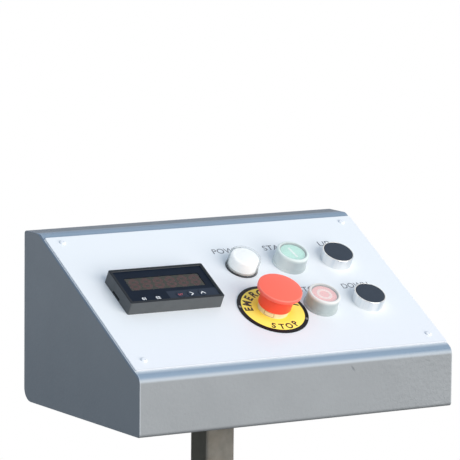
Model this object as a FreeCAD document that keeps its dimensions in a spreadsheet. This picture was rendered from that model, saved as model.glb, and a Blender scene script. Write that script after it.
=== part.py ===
"""Operator console on a floor pedestal: a sloped sheet-metal desk with a panel meter, a pilot lamp,
four push buttons and an emergency stop, on a square post with a base plate.

Frame: millimetres, X to the operator's right, Y away from the operator, Z up. The origin is the
middle of the base plate's underside. Things on the sloped panel are placed by three distances:
across from the console's left side, up the slope from its lower corner, and out from the slope's face.
"""
import FreeCAD
import Part
import Sketcher
import math
import os
import re

Vector = FreeCAD.Vector

# Driving sizes: millimetres, degrees and counts. Each alias is used by name in the expressions below.
SIZES = {
    # Console shell
    "console_width": 325.0,
    "slope_length": 206.0,
    "slope_angle": 30.0,
    "top_depth": 30.0,
    "front_height": 52.0,
    "sheet_thickness": 2.0,
    "cheek_thickness": 2.0,
    "front_foot_bend": 1.0,
    "back_foot_bend": 10.0,
    "back_top_bend": 1.0,
    "slope_top_bend": 6.0,
    "slope_foot_bend": 7.0,
    "opening_side": 22.0,
    "opening_low": 34.0,
    "opening_high": 30.0,
    "opening_corner": 6.0,
    # White panel plate and its screws
    "plate_thickness": 1.5,
    "plate_side_margin": 1.5,
    "plate_low_margin": 9.5,
    "plate_high_margin": 7.2,
    "plate_corner": 2.0,
    "screw_side": 14.3,
    "screw_low": 21.8,
    "screw_high": 16.4,
    "screw_radius": 1.5,
    "screw_length": 9.0,
    "screw_head_radius": 2.8,
    "screw_head_height": 1.8,
    "screw_head_edge": 0.7,
    "clinch_nut_radius": 3.5,
    "clinch_nut_height": 3.5,
    "hole_clearance": 0.25,
    "thread_clearance": 0.05,
    # Panel meter
    "meter_left": 28.7,
    "meter_low": 83.6,
    "meter_width": 96.0,
    "meter_height": 48.0,
    "meter_stand": 12.8,
    "meter_wall": 2.3,
    "meter_corner": 1.6,
    "meter_edge": 0.7,
    "meter_rim": 2.6,
    "face_recess": 1.2,
    "face_thickness": 2.0,
    "notch_length": 9.0,
    "notch_height": 3.0,
    "case_depth": 78.0,
    "case_front": 5.0,
    "case_wall": 1.8,
    "case_gap": 0.15,
    "cutout_gap": 0.4,
    "window_left": 9.7,
    "window_width": 75.5,
    "window_low": 19.2,
    "window_height": 16.7,
    "window_gap": 0.1,
    "display_lap": 1.2,
    "display_depth": 5.0,
    "board_thickness": 1.6,
    "board_gap": 0.4,
    "main_board_depth": 62.0,
    "terminal_length": 82.0,
    "terminal_width": 15.0,
    "terminal_depth": 11.0,
    "terminal_pitch": 10.0,
    "terminal_count": 8.0,
    "terminal_hole": 2.2,
    "clip_width": 12.0,
    "clip_thickness": 3.6,
    "clip_length": 34.0,
    "pipe_left": 15.8,
    "pipe_pitch": 14.7,
    "pipe_low": 11.0,
    "pipe_width": 5.0,
    "pipe_height": 1.9,
    "key_left": 54.5,
    "key_pitch": 11.35,
    "key_low": 8.3,
    "key_radius": 4.25,
    "key_flange": 0.75,
    "key_flange_thickness": 0.8,
    "key_proud": 0.6,
    "key_edge": 0.35,
    "key_travel": 0.4,
    "key_gap": 0.15,
    "switch_width": 6.0,
    # What every panel control shares
    "column_share": 0.5323,
    "pitch_share": 0.1554,
    "row_low": 73.5,
    "row_pitch": 62.0,
    "barrel_radius": 11.0,
    "barrel_length": 28.0,
    "barrel_bore": 8.0,
    "barrel_floor": 2.0,
    "barrel_gap": 0.2,
    "gasket_thickness": 0.8,
    "locknut_flats": 27.0,
    "locknut_height": 4.5,
    "running_gap": 0.08,
    "seat_gap": 0.05,
    "stop_gap": 0.3,
    "stem_wall": 1.3,
    "pin_radius": 2.9,
    "collar_width": 0.6,
    "collar_height": 1.5,
    "spring_wire_radius": 0.5,
    "spring_turns": 7.0,
    "spring_seat": 0.3,
    "button_travel": 4.0,
    "ring_floor": 1.5,
    "contact_width": 22.0,
    "contact_length": 30.0,
    "contact_depth": 26.0,
    "contact_corner": 1.5,
    "contact_screw_radius": 2.2,
    "contact_screw_depth": 6.0,
    "contact_screw_across": 6.0,
    "contact_screw_up": 10.0,
    # UP and DOWN: black caps in bright rings
    "ring_radius": 14.8,
    "ring_height": 10.0,
    "ring_edge": 0.35,
    "ring_gasket_radius": 14.2,
    "ring_cap_radius": 13.6,
    "ring_cap_height": 10.2,
    "ring_cap_edge": 0.5,
    "ring_cap_wall": 2.0,
    "cap_gap": 0.2,
    # START and STOP: coloured caps under soft boots
    "boot_radius": 15.1,
    "boot_hem_radius": 15.8,
    "boot_hem_height": 1.5,
    "boot_lip": 0.8,
    "boot_wall": 0.9,
    "boot_rim": 2.6,
    "boot_rim_rise": 0.5,
    "boot_edge": 0.45,
    "boot_skin": 0.8,
    "boot_gasket_radius": 15.6,
    "soft_gap": 0.3,
    "low_ring_height": 8.5,
    "booted_cap_radius": 12.1,
    "booted_cap_height": 13.4,
    "booted_cap_edge": 0.8,
    # Pilot lamp
    "lens_radius": 14.8,
    "lens_height": 15.0,
    "lens_wall": 1.3,
    "lens_edge": 2.2,
    "lens_gasket_radius": 15.3,
    "diffuser_gap": 0.15,
    "diffuser_wall": 1.2,
    "diffuser_edge": 1.0,
    "lamp_flange_height": 2.0,
    "lamp_bore": 6.5,
    "led_radius": 5.0,
    "led_height": 9.0,
    # Emergency stop
    "disc_gap": 1.4,
    "disc_thickness": 1.0,
    "stop_ring_radius": 14.2,
    "stop_ring_height": 10.5,
    "skirt_radius": 15.4,
    "skirt_wall": 0.9,
    "skirt_foot": 6.5,
    "neck_height": 19.0,
    "neck_bend": 1.5,
    "rim_radius": 20.6,
    "rim_low": 21.8,
    "rim_high": 25.4,
    "rim_edge": 1.0,
    "brow_edge": 1.8,
    "crown_height": 27.2,
    "socket_height": 16.0,
    "journal_radius": 5.0,
    "journal_height": 22.0,
    "journal_lip": 0.6,
    "journal_lip_height": 1.5,
    "stop_travel": 4.5,
    # Cable gland in the back wall
    "gland_right": 62.0,
    "gland_height": 36.0,
    "gland_flats": 20.0,
    "gland_flange": 4.5,
    "gland_thread": 8.0,
    "gland_outer_thread": 8.6,
    "gland_bore": 6.2,
    "gland_reach": 9.0,
    "gland_neck": 9.0,
    "dome_height": 13.0,
    "dome_edge": 1.6,
    "seal_bore": 4.5,
    "seal_length": 11.0,
    "dome_mouth": 5.4,
    "dome_wall": 2.4,
    "gland_nut_height": 4.0,
    # Post, flange and base
    "post_side": 30.0,
    "post_wall": 2.5,
    "post_corner": 3.0,
    "post_length": 909.0,
    "post_setback": 43.0,
    "flange_side": 90.0,
    "flange_thickness": 6.0,
    "flange_corner": 5.0,
    "bolt_inset": 13.0,
    "bolt_radius": 3.0,
    "bolt_head_flats": 10.0,
    "bolt_head_height": 4.0,
    "bolt_reach": 16.0,
    "bolt_nut_height": 5.0,
    "base_width": 420.0,
    "base_depth": 360.0,
    "base_thickness": 10.0,
    "base_corner": 20.0,
    "base_chamfer": 1.5,
    "anchor_inset": 30.0,
    "anchor_radius": 6.0,
    "gusset_leg": 60.0,
    "gusset_height": 75.0,
    "gusset_toe": 10.0,
    "gusset_thickness": 5.0,
    # How far a cutting tool runs past the piece it cuts
    "overcut": 1.0,
}

# Levels and lengths that follow from the driving sizes, as expressions on the sheet
SLOPE_RUN = "slope_length * cos(slope_angle)"
CONSOLE_DEPTH = f"({SLOPE_RUN} + top_depth)"
CONSOLE_HEIGHT = "(front_height + slope_length * sin(slope_angle))"
CONSOLE_BOTTOM = "(base_thickness + post_length + flange_thickness)"
CONSOLE_LEFT = "(-console_width / 2)"
CONSOLE_FRONT = f"(-{CONSOLE_DEPTH} / 2)"
BARREL_BOTTOM = "(plate_thickness - barrel_length)"
BARREL_FLOOR = f"({BARREL_BOTTOM} + barrel_floor)"
STEM_RADIUS = "(barrel_bore - running_gap)"
SPRING_BORE = f"({STEM_RADIUS} - stem_wall)"
ON_GASKET = "(plate_thickness + gasket_thickness)"
FACE_TOP = "(meter_stand - face_recess)"
FACE_UNDER = f"({FACE_TOP} - face_thickness)"
BOARD_TOP = f"({FACE_UNDER} - display_depth)"
CASE_SIDE = "(meter_wall + case_gap)"
CASE_WIDTH = f"(meter_width - 2 * {CASE_SIDE})"
CASE_HEIGHT = f"(meter_height - 2 * {CASE_SIDE})"
KEY_FLANGE_TOP = f"({FACE_UNDER} - seat_gap)"
KEY_UNDER = f"({KEY_FLANGE_TOP} - key_flange_thickness)"

COLUMN_PITCH = "(console_width * pitch_share)"
COLUMNS = [f"(console_width * column_share + {step} * {COLUMN_PITCH})" for step in range(3)]
DISC_RADIUS = f"({COLUMN_PITCH} - boot_hem_radius - disc_gap)"
LOW_ROW, HIGH_ROW = "row_low", "(row_low + row_pitch)"
PANEL_PLACES = {
    "power": (COLUMNS[0], HIGH_ROW),
    "start": (COLUMNS[1], HIGH_ROW),
    "up": (COLUMNS[2], HIGH_ROW),
    "estop": (COLUMNS[0], LOW_ROW),
    "stop": (COLUMNS[1], LOW_ROW),
    "down": (COLUMNS[2], LOW_ROW),
}

doc = FreeCAD.newDocument("OperatorConsole")
sheet = doc.addObject("Spreadsheet::Sheet", "Sizes")
nodes = []


def fill_sheet():
    """Writes each driving size into the sheet as a plain number with an alias."""
    for row, (alias, value) in enumerate(SIZES.items(), start=1):
        sheet.set(f"A{row}", alias)
        sheet.set(f"B{row}", str(value))
        sheet.setAlias(f"B{row}", alias)
    doc.recompute()


def on_sheet(expression):
    """The expression with each alias led by the sheet's name."""
    def lead(word):
        return "Sizes." + word[0] if word[0] in SIZES else word[0]
    return re.sub(r"[a-z][a-z_0-9]*", lead, str(expression))


def number(expression):
    """The present value of an expression."""
    return float(sheet.evalExpression(on_sheet(expression)))


def bind(thing, **sizes):
    for name, expression in sizes.items():
        thing.setExpression(name, on_sheet(expression))


def place(thing, x="0", y="0", z="0", axis=None, angle="0"):
    """Puts a thing at a point, turned by an angle about an axis through its own origin."""
    if axis:
        thing.Placement = FreeCAD.Placement(Vector(), FreeCAD.Rotation(Vector(*axis), 1))
        thing.setExpression("Placement.Rotation.Angle", on_sheet(angle))
    for name, expression in (("x", x), ("y", y), ("z", z)):
        thing.setExpression("Placement.Base." + name, on_sheet(expression))
    return thing


def on_console(thing, x="0", y="0", z="0"):
    """Places a thing by its distances from the console's lower front left corner."""
    return place(thing, f"{CONSOLE_LEFT} + {x}", f"{CONSOLE_FRONT} + {y}", f"{CONSOLE_BOTTOM} + {z}")


def on_panel(thing, across, up, out="0"):
    """Places a thing on the slope, with its own Z square to the slope."""
    return place(
        thing,
        x=f"{CONSOLE_LEFT} + {across}",
        y=f"{CONSOLE_FRONT} + ({up}) * cos(slope_angle) - ({out}) * sin(slope_angle)",
        z=f"{CONSOLE_BOTTOM} + front_height + ({up}) * sin(slope_angle) + ({out}) * cos(slope_angle)",
        axis=(1, 0, 0), angle="slope_angle")


def on_meter(thing, across="0", up="0", out="0"):
    """Places a thing by its distances from the meter's lower left corner on the plate's face."""
    return on_panel(thing, f"(meter_left + {across})", f"(meter_low + {up})", f"(plate_thickness + {out})")


def on_post(thing, x="0", y="0", z="0"):
    """Places a thing by its distance from the post's axis at floor level."""
    return place(thing, x, f"post_setback + {y}", z)


def new(kind, name):
    return doc.addObject(kind, name)


def own_plane(body, role):
    return [plane for plane in body.Origin.OriginFeatures if plane.Role == role][0]


def dome_arc(top, rim):
    """The arc from a rim up to a top point on the upright axis, with its centre on that axis."""
    reach, fall = rim[0] - top[0], top[1] - rim[1]
    radius = (reach ** 2 + fall ** 2) / (2 * fall)
    centre = Vector(top[0], top[1] - radius, 0)
    start = math.atan2(radius - fall, reach)
    return Part.ArcOfCircle(Part.Circle(centre, Vector(0, 0, 1), radius), start, math.pi / 2)


def outline(body, role, corners, domed=False):
    """A closed sketch through the corners, each held by its two distances. Its lines are straight, but
    a domed one starts with an arc whose centre lies on the upright axis."""
    sketch = body.newObject("Sketcher::SketchObject", body.Name + "_outline")
    sketch.AttachmentSupport = (own_plane(body, role), [""])
    sketch.MapMode = "FlatFace"
    points = [(number(across), number(up)) for across, up in corners]
    count = len(points)
    for index in range(count):
        start, end = points[index], points[(index + 1) % count]
        line = Part.LineSegment(Vector(*start, 0), Vector(*end, 0))
        sketch.addGeometry(dome_arc(start, end) if domed and index == 0 else line, False)
    # An arc runs anticlockwise, so the dome's first corner is its second end
    first = [2 if domed and index == 0 else 1 for index in range(count)]
    for index in range(count):
        after = (index + 1) % count
        sketch.addConstraint(Sketcher.Constraint("Coincident", index, 3 - first[index], after, first[after]))
    if domed:
        sketch.addConstraint(Sketcher.Constraint("PointOnObject", 0, 3, -2))
    for index in range(count):
        for axis, kind in enumerate(("DistanceX", "DistanceY")):
            held = Sketcher.Constraint(kind, -1, 1, index, first[index], points[index][axis])
            row = sketch.addConstraint(held)
            sketch.setExpression(f"Constraints[{row}]", on_sheet(corners[index][axis]))
    return sketch


def turned(name, corners, domed=False):
    """A body turned about Z from corners given as radius and height."""
    body = new("PartDesign::Body", name)
    sketch = outline(body, "XZ_Plane", corners, domed)
    turn = body.newObject("PartDesign::Revolution", name + "_turn")
    turn.Profile = sketch
    turn.ReferenceAxis = (sketch, ["V_Axis"])
    turn.Angle = 360
    return body


def prism(name, role, corners, length):
    """A body padded from a straight-sided outline."""
    body = new("PartDesign::Body", name)
    pad = body.newObject("PartDesign::Pad", name + "_pad")
    pad.Profile = outline(body, role, corners)
    bind(pad, Length=length)
    return body


def rectangle(length, width):
    return [("0", "0"), (length, "0"), (length, width), ("0", width)]


def hexagon(flats):
    """The six corners of a hexagon about the origin, from its width across flats."""
    reach = f"({flats}) / 2 / cos(30)"
    return [(f"{reach} * cos({60 * turn})", f"{reach} * sin({60 * turn})") for turn in range(6)]


def rounded(body, radius, chosen, kind="Fillet"):
    """Rounds or chamfers those edges of a body that the choice picks."""
    doc.recompute()
    base = body.Tip
    picked = []
    for row, edge in enumerate(base.Shape.Edges, start=1):
        if not edge.Degenerated and chosen(edge):
            picked.append(f"Edge{row}")
    if not picked:
        raise RuntimeError("no edge to round on " + body.Name)
    feature = body.newObject("PartDesign::" + kind, f"{body.Name}_{kind.lower()}_{len(body.Group)}")
    feature.Base = (base, picked)
    bind(feature, **{"Radius" if kind == "Fillet" else "Size": radius})
    return body


def close(first, second):
    return abs(first - second) < 1e-4


def circle_at(radius, height):
    """Picks the full circle of a radius and height about the body's own Z axis."""
    radius, height = number(radius), number(height)

    def chosen(edge):
        curve = edge.Curve
        round_edge = isinstance(curve, Part.Circle)
        return round_edge and close(curve.Radius, radius) and close(curve.Center.z, height)
    return chosen


def upright(edge):
    """Picks the straight edges that run along Z."""
    return isinstance(edge.Curve, Part.Line) and close(abs(edge.Curve.Direction.z), 1)


def level_at(height):
    """Picks the edges that lie in one level plane."""
    height = number(height)

    def chosen(edge):
        return close(edge.BoundBox.ZMin, height) and close(edge.BoundBox.ZMax, height)
    return chosen


def lengthwise_at(y, z):
    """Picks the straight edge that runs along X through a point."""
    y, z = number(y), number(z)

    def chosen(edge):
        box = edge.BoundBox
        return (isinstance(edge.Curve, Part.Line) and close(abs(edge.Curve.Direction.x), 1)
                and close(box.YMin, y) and close(box.ZMin, z))
    return chosen


def block(name, length, width, height, corner=None):
    """A rectangular block from the origin, with rounded upright edges if a corner radius is given."""
    body = prism(name, "XY_Plane", rectangle(length, width), height)
    return rounded(body, corner, upright) if corner else body


def cylinder(name, radius, height):
    tool = new("Part::Cylinder", name)
    bind(tool, Radius=radius, Height=height)
    return tool


def fuse(name, shapes):
    if len(shapes) == 1:
        return shapes[0]
    result = new("Part::MultiFuse", name)
    result.Shapes = shapes
    return result


def cut(name, base, tools):
    """The base with the tools taken away."""
    result = new("Part::Cut", name)
    result.Base = base
    result.Tool = fuse(name + "_tools", tools)
    return result


def group(name, members):
    """Separate solids under one name."""
    result = new("Part::Compound", name)
    result.Links = members
    return result


def node(thing, label):
    """Marks an object as a finished sub-part."""
    thing.Label = label
    nodes.append(thing)
    return thing


def console_corners(inset):
    """The console's side outline, drawn in by a wall: front foot, back foot, back top, slope top and
    slope foot."""
    return [
        (inset, inset),
        (f"{CONSOLE_DEPTH} - {inset}", inset),
        (f"{CONSOLE_DEPTH} - {inset}", f"{CONSOLE_HEIGHT} - {inset}"),
        (f"{SLOPE_RUN} + {inset} * tan(slope_angle / 2)", f"{CONSOLE_HEIGHT} - {inset}"),
        (inset, f"front_height - {inset} * tan(45 - slope_angle / 2)"),
    ]


def console_form(name, inset, length, grow):
    """A length of the console's side outline with its five bends rounded."""
    corners = console_corners(inset)
    body = prism(name, "YZ_Plane", corners, length)
    bends = ["front_foot_bend", "back_foot_bend", "back_top_bend", "slope_top_bend", "slope_foot_bend"]
    for bend, (y, z) in zip(bends, corners):
        rounded(body, f"{bend} + {grow}", lengthwise_at(y, z))
    return body


def screw_places():
    """Across and up distances of the four panel screws."""
    sides = ["screw_side", "(console_width - screw_side)"]
    return [(side, up) for up in ("screw_low", "(slope_length - screw_high)") for side in sides]


def bolt_places():
    """Distances of the four flange bolts from the post's axis."""
    reach = "(flange_side / 2 - bolt_inset)"
    return [(f"{x} * {reach}", f"{y} * {reach}") for y in (-1, 1) for x in (-1, 1)]


def anchor_places():
    """Distances of the four anchor holes from the middle of the base plate."""
    across, along = "(base_width / 2 - anchor_inset)", "(base_depth / 2 - anchor_inset)"
    return [(f"{x} * {across}", f"{y} * {along}") for y in (-1, 1) for x in (-1, 1)]


def make_shell():
    """The folded wrap and its two welded cheeks."""
    outer = on_console(console_form("wrap_outside", "0", "console_width", "sheet_thickness"))
    inner_length = "console_width + 2 * overcut"
    inner = on_console(console_form("wrap_inside", "sheet_thickness", inner_length, "0"), x="(-overcut)")

    through_sheet = "sheet_thickness + 2 * overcut"
    under_sheet = "(-sheet_thickness - overcut)"
    opening = block("slope_opening", "console_width - 2 * opening_side",
                    "slope_length - opening_low - opening_high", through_sheet, "opening_corner")
    tools = [inner, on_panel(opening, "opening_side", "opening_low", under_sheet)]
    for index, (across, up) in enumerate(screw_places()):
        hole = cylinder(f"wrap_screw_hole_{index}", "screw_radius + hole_clearance", through_sheet)
        tools.append(on_panel(hole, across, up, under_sheet))
    for index, (x, y) in enumerate(bolt_places()):
        hole = cylinder(f"wrap_bolt_hole_{index}", "bolt_radius + hole_clearance", through_sheet)
        tools.append(on_post(hole, x, y, f"{CONSOLE_BOTTOM} - overcut"))
    hole = cylinder("wrap_gland_hole", "gland_thread + hole_clearance", through_sheet)
    tools.append(on_gland(hole, under_sheet))
    node(cut("console_wrap", outer, tools), "console_wrap")

    for side, x in (("left", "0"), ("right", "(console_width - cheek_thickness)")):
        cheek = console_form(side + "_cheek", "sheet_thickness", "cheek_thickness", "0")
        node(on_console(cheek, x=x), side + "_cheek")


def make_plate():
    """The white panel plate with its holes, its four screws and their clinch nuts."""
    width = "console_width - 2 * plate_side_margin"
    height = "slope_length - plate_low_margin - plate_high_margin"
    plate = block("plate_blank", width, height, "plate_thickness", "plate_corner")
    on_panel(plate, "plate_side_margin", "plate_low_margin")

    through = "plate_thickness + 2 * overcut"
    cutout = block("meter_cutout", f"{CASE_WIDTH} + 2 * cutout_gap", f"{CASE_HEIGHT} + 2 * cutout_gap",
                   through)
    edge = f"({CASE_SIDE} - cutout_gap)"
    tools = [on_meter(cutout, edge, edge, "(-plate_thickness - overcut)")]
    for name, (across, up) in PANEL_PLACES.items():
        hole = cylinder(name + "_hole", "barrel_radius + barrel_gap", through)
        tools.append(on_panel(hole, across, up, "(-overcut)"))
    for index, (across, up) in enumerate(screw_places()):
        hole = cylinder(f"plate_screw_hole_{index}", "screw_radius + hole_clearance", through)
        tools.append(on_panel(hole, across, up, "(-overcut)"))
    node(cut("panel_plate", plate, tools), "panel_plate")

    screws, nuts = [], []
    for index, (across, up) in enumerate(screw_places()):
        screw = turned(f"panel_screw_{index}", [
            ("0", "plate_thickness + screw_head_height"),
            ("screw_head_radius", "plate_thickness + screw_head_edge"),
            ("screw_head_radius", "plate_thickness"),
            ("screw_radius", "plate_thickness"),
            ("screw_radius", "plate_thickness - screw_length"),
            ("0", "plate_thickness - screw_length"),
        ], domed=True)
        screws.append(on_panel(screw, across, up))
        nut = turned(f"clinch_nut_{index}", [
            ("screw_radius + thread_clearance", "-sheet_thickness"),
            ("clinch_nut_radius", "-sheet_thickness"),
            ("clinch_nut_radius", "-sheet_thickness - clinch_nut_height"),
            ("screw_radius + thread_clearance", "-sheet_thickness - clinch_nut_height"),
        ])
        nuts.append(on_panel(nut, across, up))
    node(group("panel_screws", screws), "panel_screws")
    node(group("panel_nuts", nuts), "panel_nuts")


def on_gland(thing, out="0"):
    """Places a thing on the gland's axis, its own Z pointing out of the console's back wall."""
    return place(
        thing,
        x="gland_right",
        y=f"{CONSOLE_FRONT} + {CONSOLE_DEPTH} + {out}",
        z=f"{CONSOLE_BOTTOM} + gland_height",
        axis=(-1, 0, 0), angle="90")


def make_gland():
    """The cable gland in the back wall: body, dome nut, rubber seal and locknut."""
    flange = on_gland(prism("gland_flange", "XY_Plane", hexagon("gland_flats"), "gland_flange"))
    barrel = on_gland(turned("gland_barrel", [
        ("gland_bore", "-gland_reach"),
        ("gland_thread", "-gland_reach"),
        ("gland_thread", "0"),
        ("gland_outer_thread", "0"),
        ("gland_outer_thread", "gland_flange + gland_neck"),
        ("gland_bore", "gland_flange + gland_neck"),
    ]))
    bore = on_gland(cylinder("gland_flange_bore", "gland_bore", "gland_flange"))
    hollow_flange = cut("gland_hollow_flange", flange, [bore])
    node(fuse("gland_body", [hollow_flange, barrel]), "gland_body")

    seat = "gland_flange + gland_neck"
    node(on_gland(turned("gland_seal", [
        ("seal_bore", f"{seat} - seal_length"),
        ("gland_bore", f"{seat} - seal_length"),
        ("gland_bore", seat),
        ("seal_bore", seat),
    ])), "gland_seal")

    foot = "(gland_flange + seat_gap)"
    skirt = rounded(prism("dome_hexagon", "XY_Plane", hexagon("gland_flats"), "dome_height"),
                    "dome_edge", level_at("dome_height"), "Chamfer")
    hollow = on_gland(turned("dome_hollow", [
        ("0", f"{foot} - overcut"),
        ("gland_outer_thread + thread_clearance", f"{foot} - overcut"),
        ("gland_outer_thread + thread_clearance", f"{foot} + dome_height - dome_wall"),
        ("dome_mouth", f"{foot} + dome_height - dome_wall"),
        ("dome_mouth", f"{foot} + dome_height + overcut"),
        ("0", f"{foot} + dome_height + overcut"),
    ]))
    node(cut("gland_dome_nut", on_gland(skirt, foot), [hollow]), "gland_dome_nut")

    under = "(-sheet_thickness - gland_nut_height)"
    nut = on_gland(prism("gland_nut_hexagon", "XY_Plane", hexagon("gland_flats"), "gland_nut_height"), under)
    bore = on_gland(cylinder("gland_nut_bore", "gland_thread + thread_clearance",
                             "gland_nut_height + 2 * overcut"), f"{under} - overcut")
    node(cut("gland_locknut", nut, [bore]), "gland_locknut")


def make_pedestal():
    """The square post, its top flange with four bolts and nuts, the base plate and four gussets."""
    def centred_tube(name, side, corner, height, bottom):
        blank = block(name, side, side, height, corner)
        return on_post(blank, f"(-({side}) / 2)", f"(-({side}) / 2)", bottom)

    post = centred_tube("post_outside", "post_side", "post_corner", "post_length", "base_thickness")
    hollow = centred_tube("post_inside", "post_side - 2 * post_wall", "post_corner / 2",
                          "post_length + 2 * overcut", "base_thickness - overcut")
    node(cut("post_tube", post, [hollow]), "post_tube")

    flange = centred_tube("flange_blank", "flange_side", "flange_corner", "flange_thickness",
                          f"{CONSOLE_BOTTOM} - flange_thickness")
    holes, bolts, nuts = [], [], []
    for index, (x, y) in enumerate(bolt_places()):
        hole = cylinder(f"flange_hole_{index}", "bolt_radius + hole_clearance",
                        "flange_thickness + 2 * overcut")
        holes.append(on_post(hole, x, y, f"{CONSOLE_BOTTOM} - flange_thickness - overcut"))

        head = prism(f"bolt_head_{index}", "XY_Plane", hexagon("bolt_head_flats"), "bolt_head_height")
        on_post(head, x, y, f"{CONSOLE_BOTTOM} - flange_thickness - bolt_head_height")
        shank = cylinder(f"bolt_shank_{index}", "bolt_radius", "bolt_reach")
        on_post(shank, x, y, f"{CONSOLE_BOTTOM} - flange_thickness")
        bolts.append(fuse(f"flange_bolt_{index}", [head, shank]))

        blank = prism(f"nut_blank_{index}", "XY_Plane", hexagon("bolt_head_flats"), "bolt_nut_height")
        on_post(blank, x, y, f"{CONSOLE_BOTTOM} + sheet_thickness")
        bore = cylinder(f"nut_bore_{index}", "bolt_radius + thread_clearance",
                        "bolt_nut_height + 2 * overcut")
        on_post(bore, x, y, f"{CONSOLE_BOTTOM} + sheet_thickness - overcut")
        nuts.append(cut(f"flange_nut_{index}", blank, [bore]))
    node(cut("post_flange", flange, holes), "post_flange")
    node(group("flange_bolts", bolts), "flange_bolts")
    node(group("flange_nuts", nuts), "flange_nuts")

    base = block("base_blank", "base_width", "base_depth", "base_thickness", "base_corner")
    rounded(base, "base_chamfer", level_at("base_thickness"), "Chamfer")
    place(base, "-base_width / 2", "-base_depth / 2")
    anchors = []
    for index, (x, y) in enumerate(anchor_places()):
        hole = cylinder(f"anchor_hole_{index}", "anchor_radius", "base_thickness + 2 * overcut")
        anchors.append(place(hole, x, y, "-overcut"))
    node(cut("base_plate", base, anchors), "base_plate")

    gussets = []
    for quarter in range(4):
        gusset = prism(f"gusset_{quarter}", "XZ_Plane", [
            ("post_side / 2", "0"),
            ("post_side / 2 + gusset_leg", "0"),
            ("post_side / 2 + gusset_leg", "gusset_toe"),
            ("post_side / 2 + gusset_toe", "gusset_height"),
            ("post_side / 2", "gusset_height"),
        ], "gusset_thickness")
        gusset.Tip.Midplane = True
        place(gusset, "0", "post_setback", "base_thickness", axis=(0, 0, 1), angle=str(90 * quarter))
        gussets.append(gusset)
    node(group("base_gussets", gussets), "base_gussets")


def key_across(index):
    return f"(key_left + {index} * key_pitch)"


def pipe_across(index):
    return f"(pipe_left + {index} * pipe_pitch)"


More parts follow.
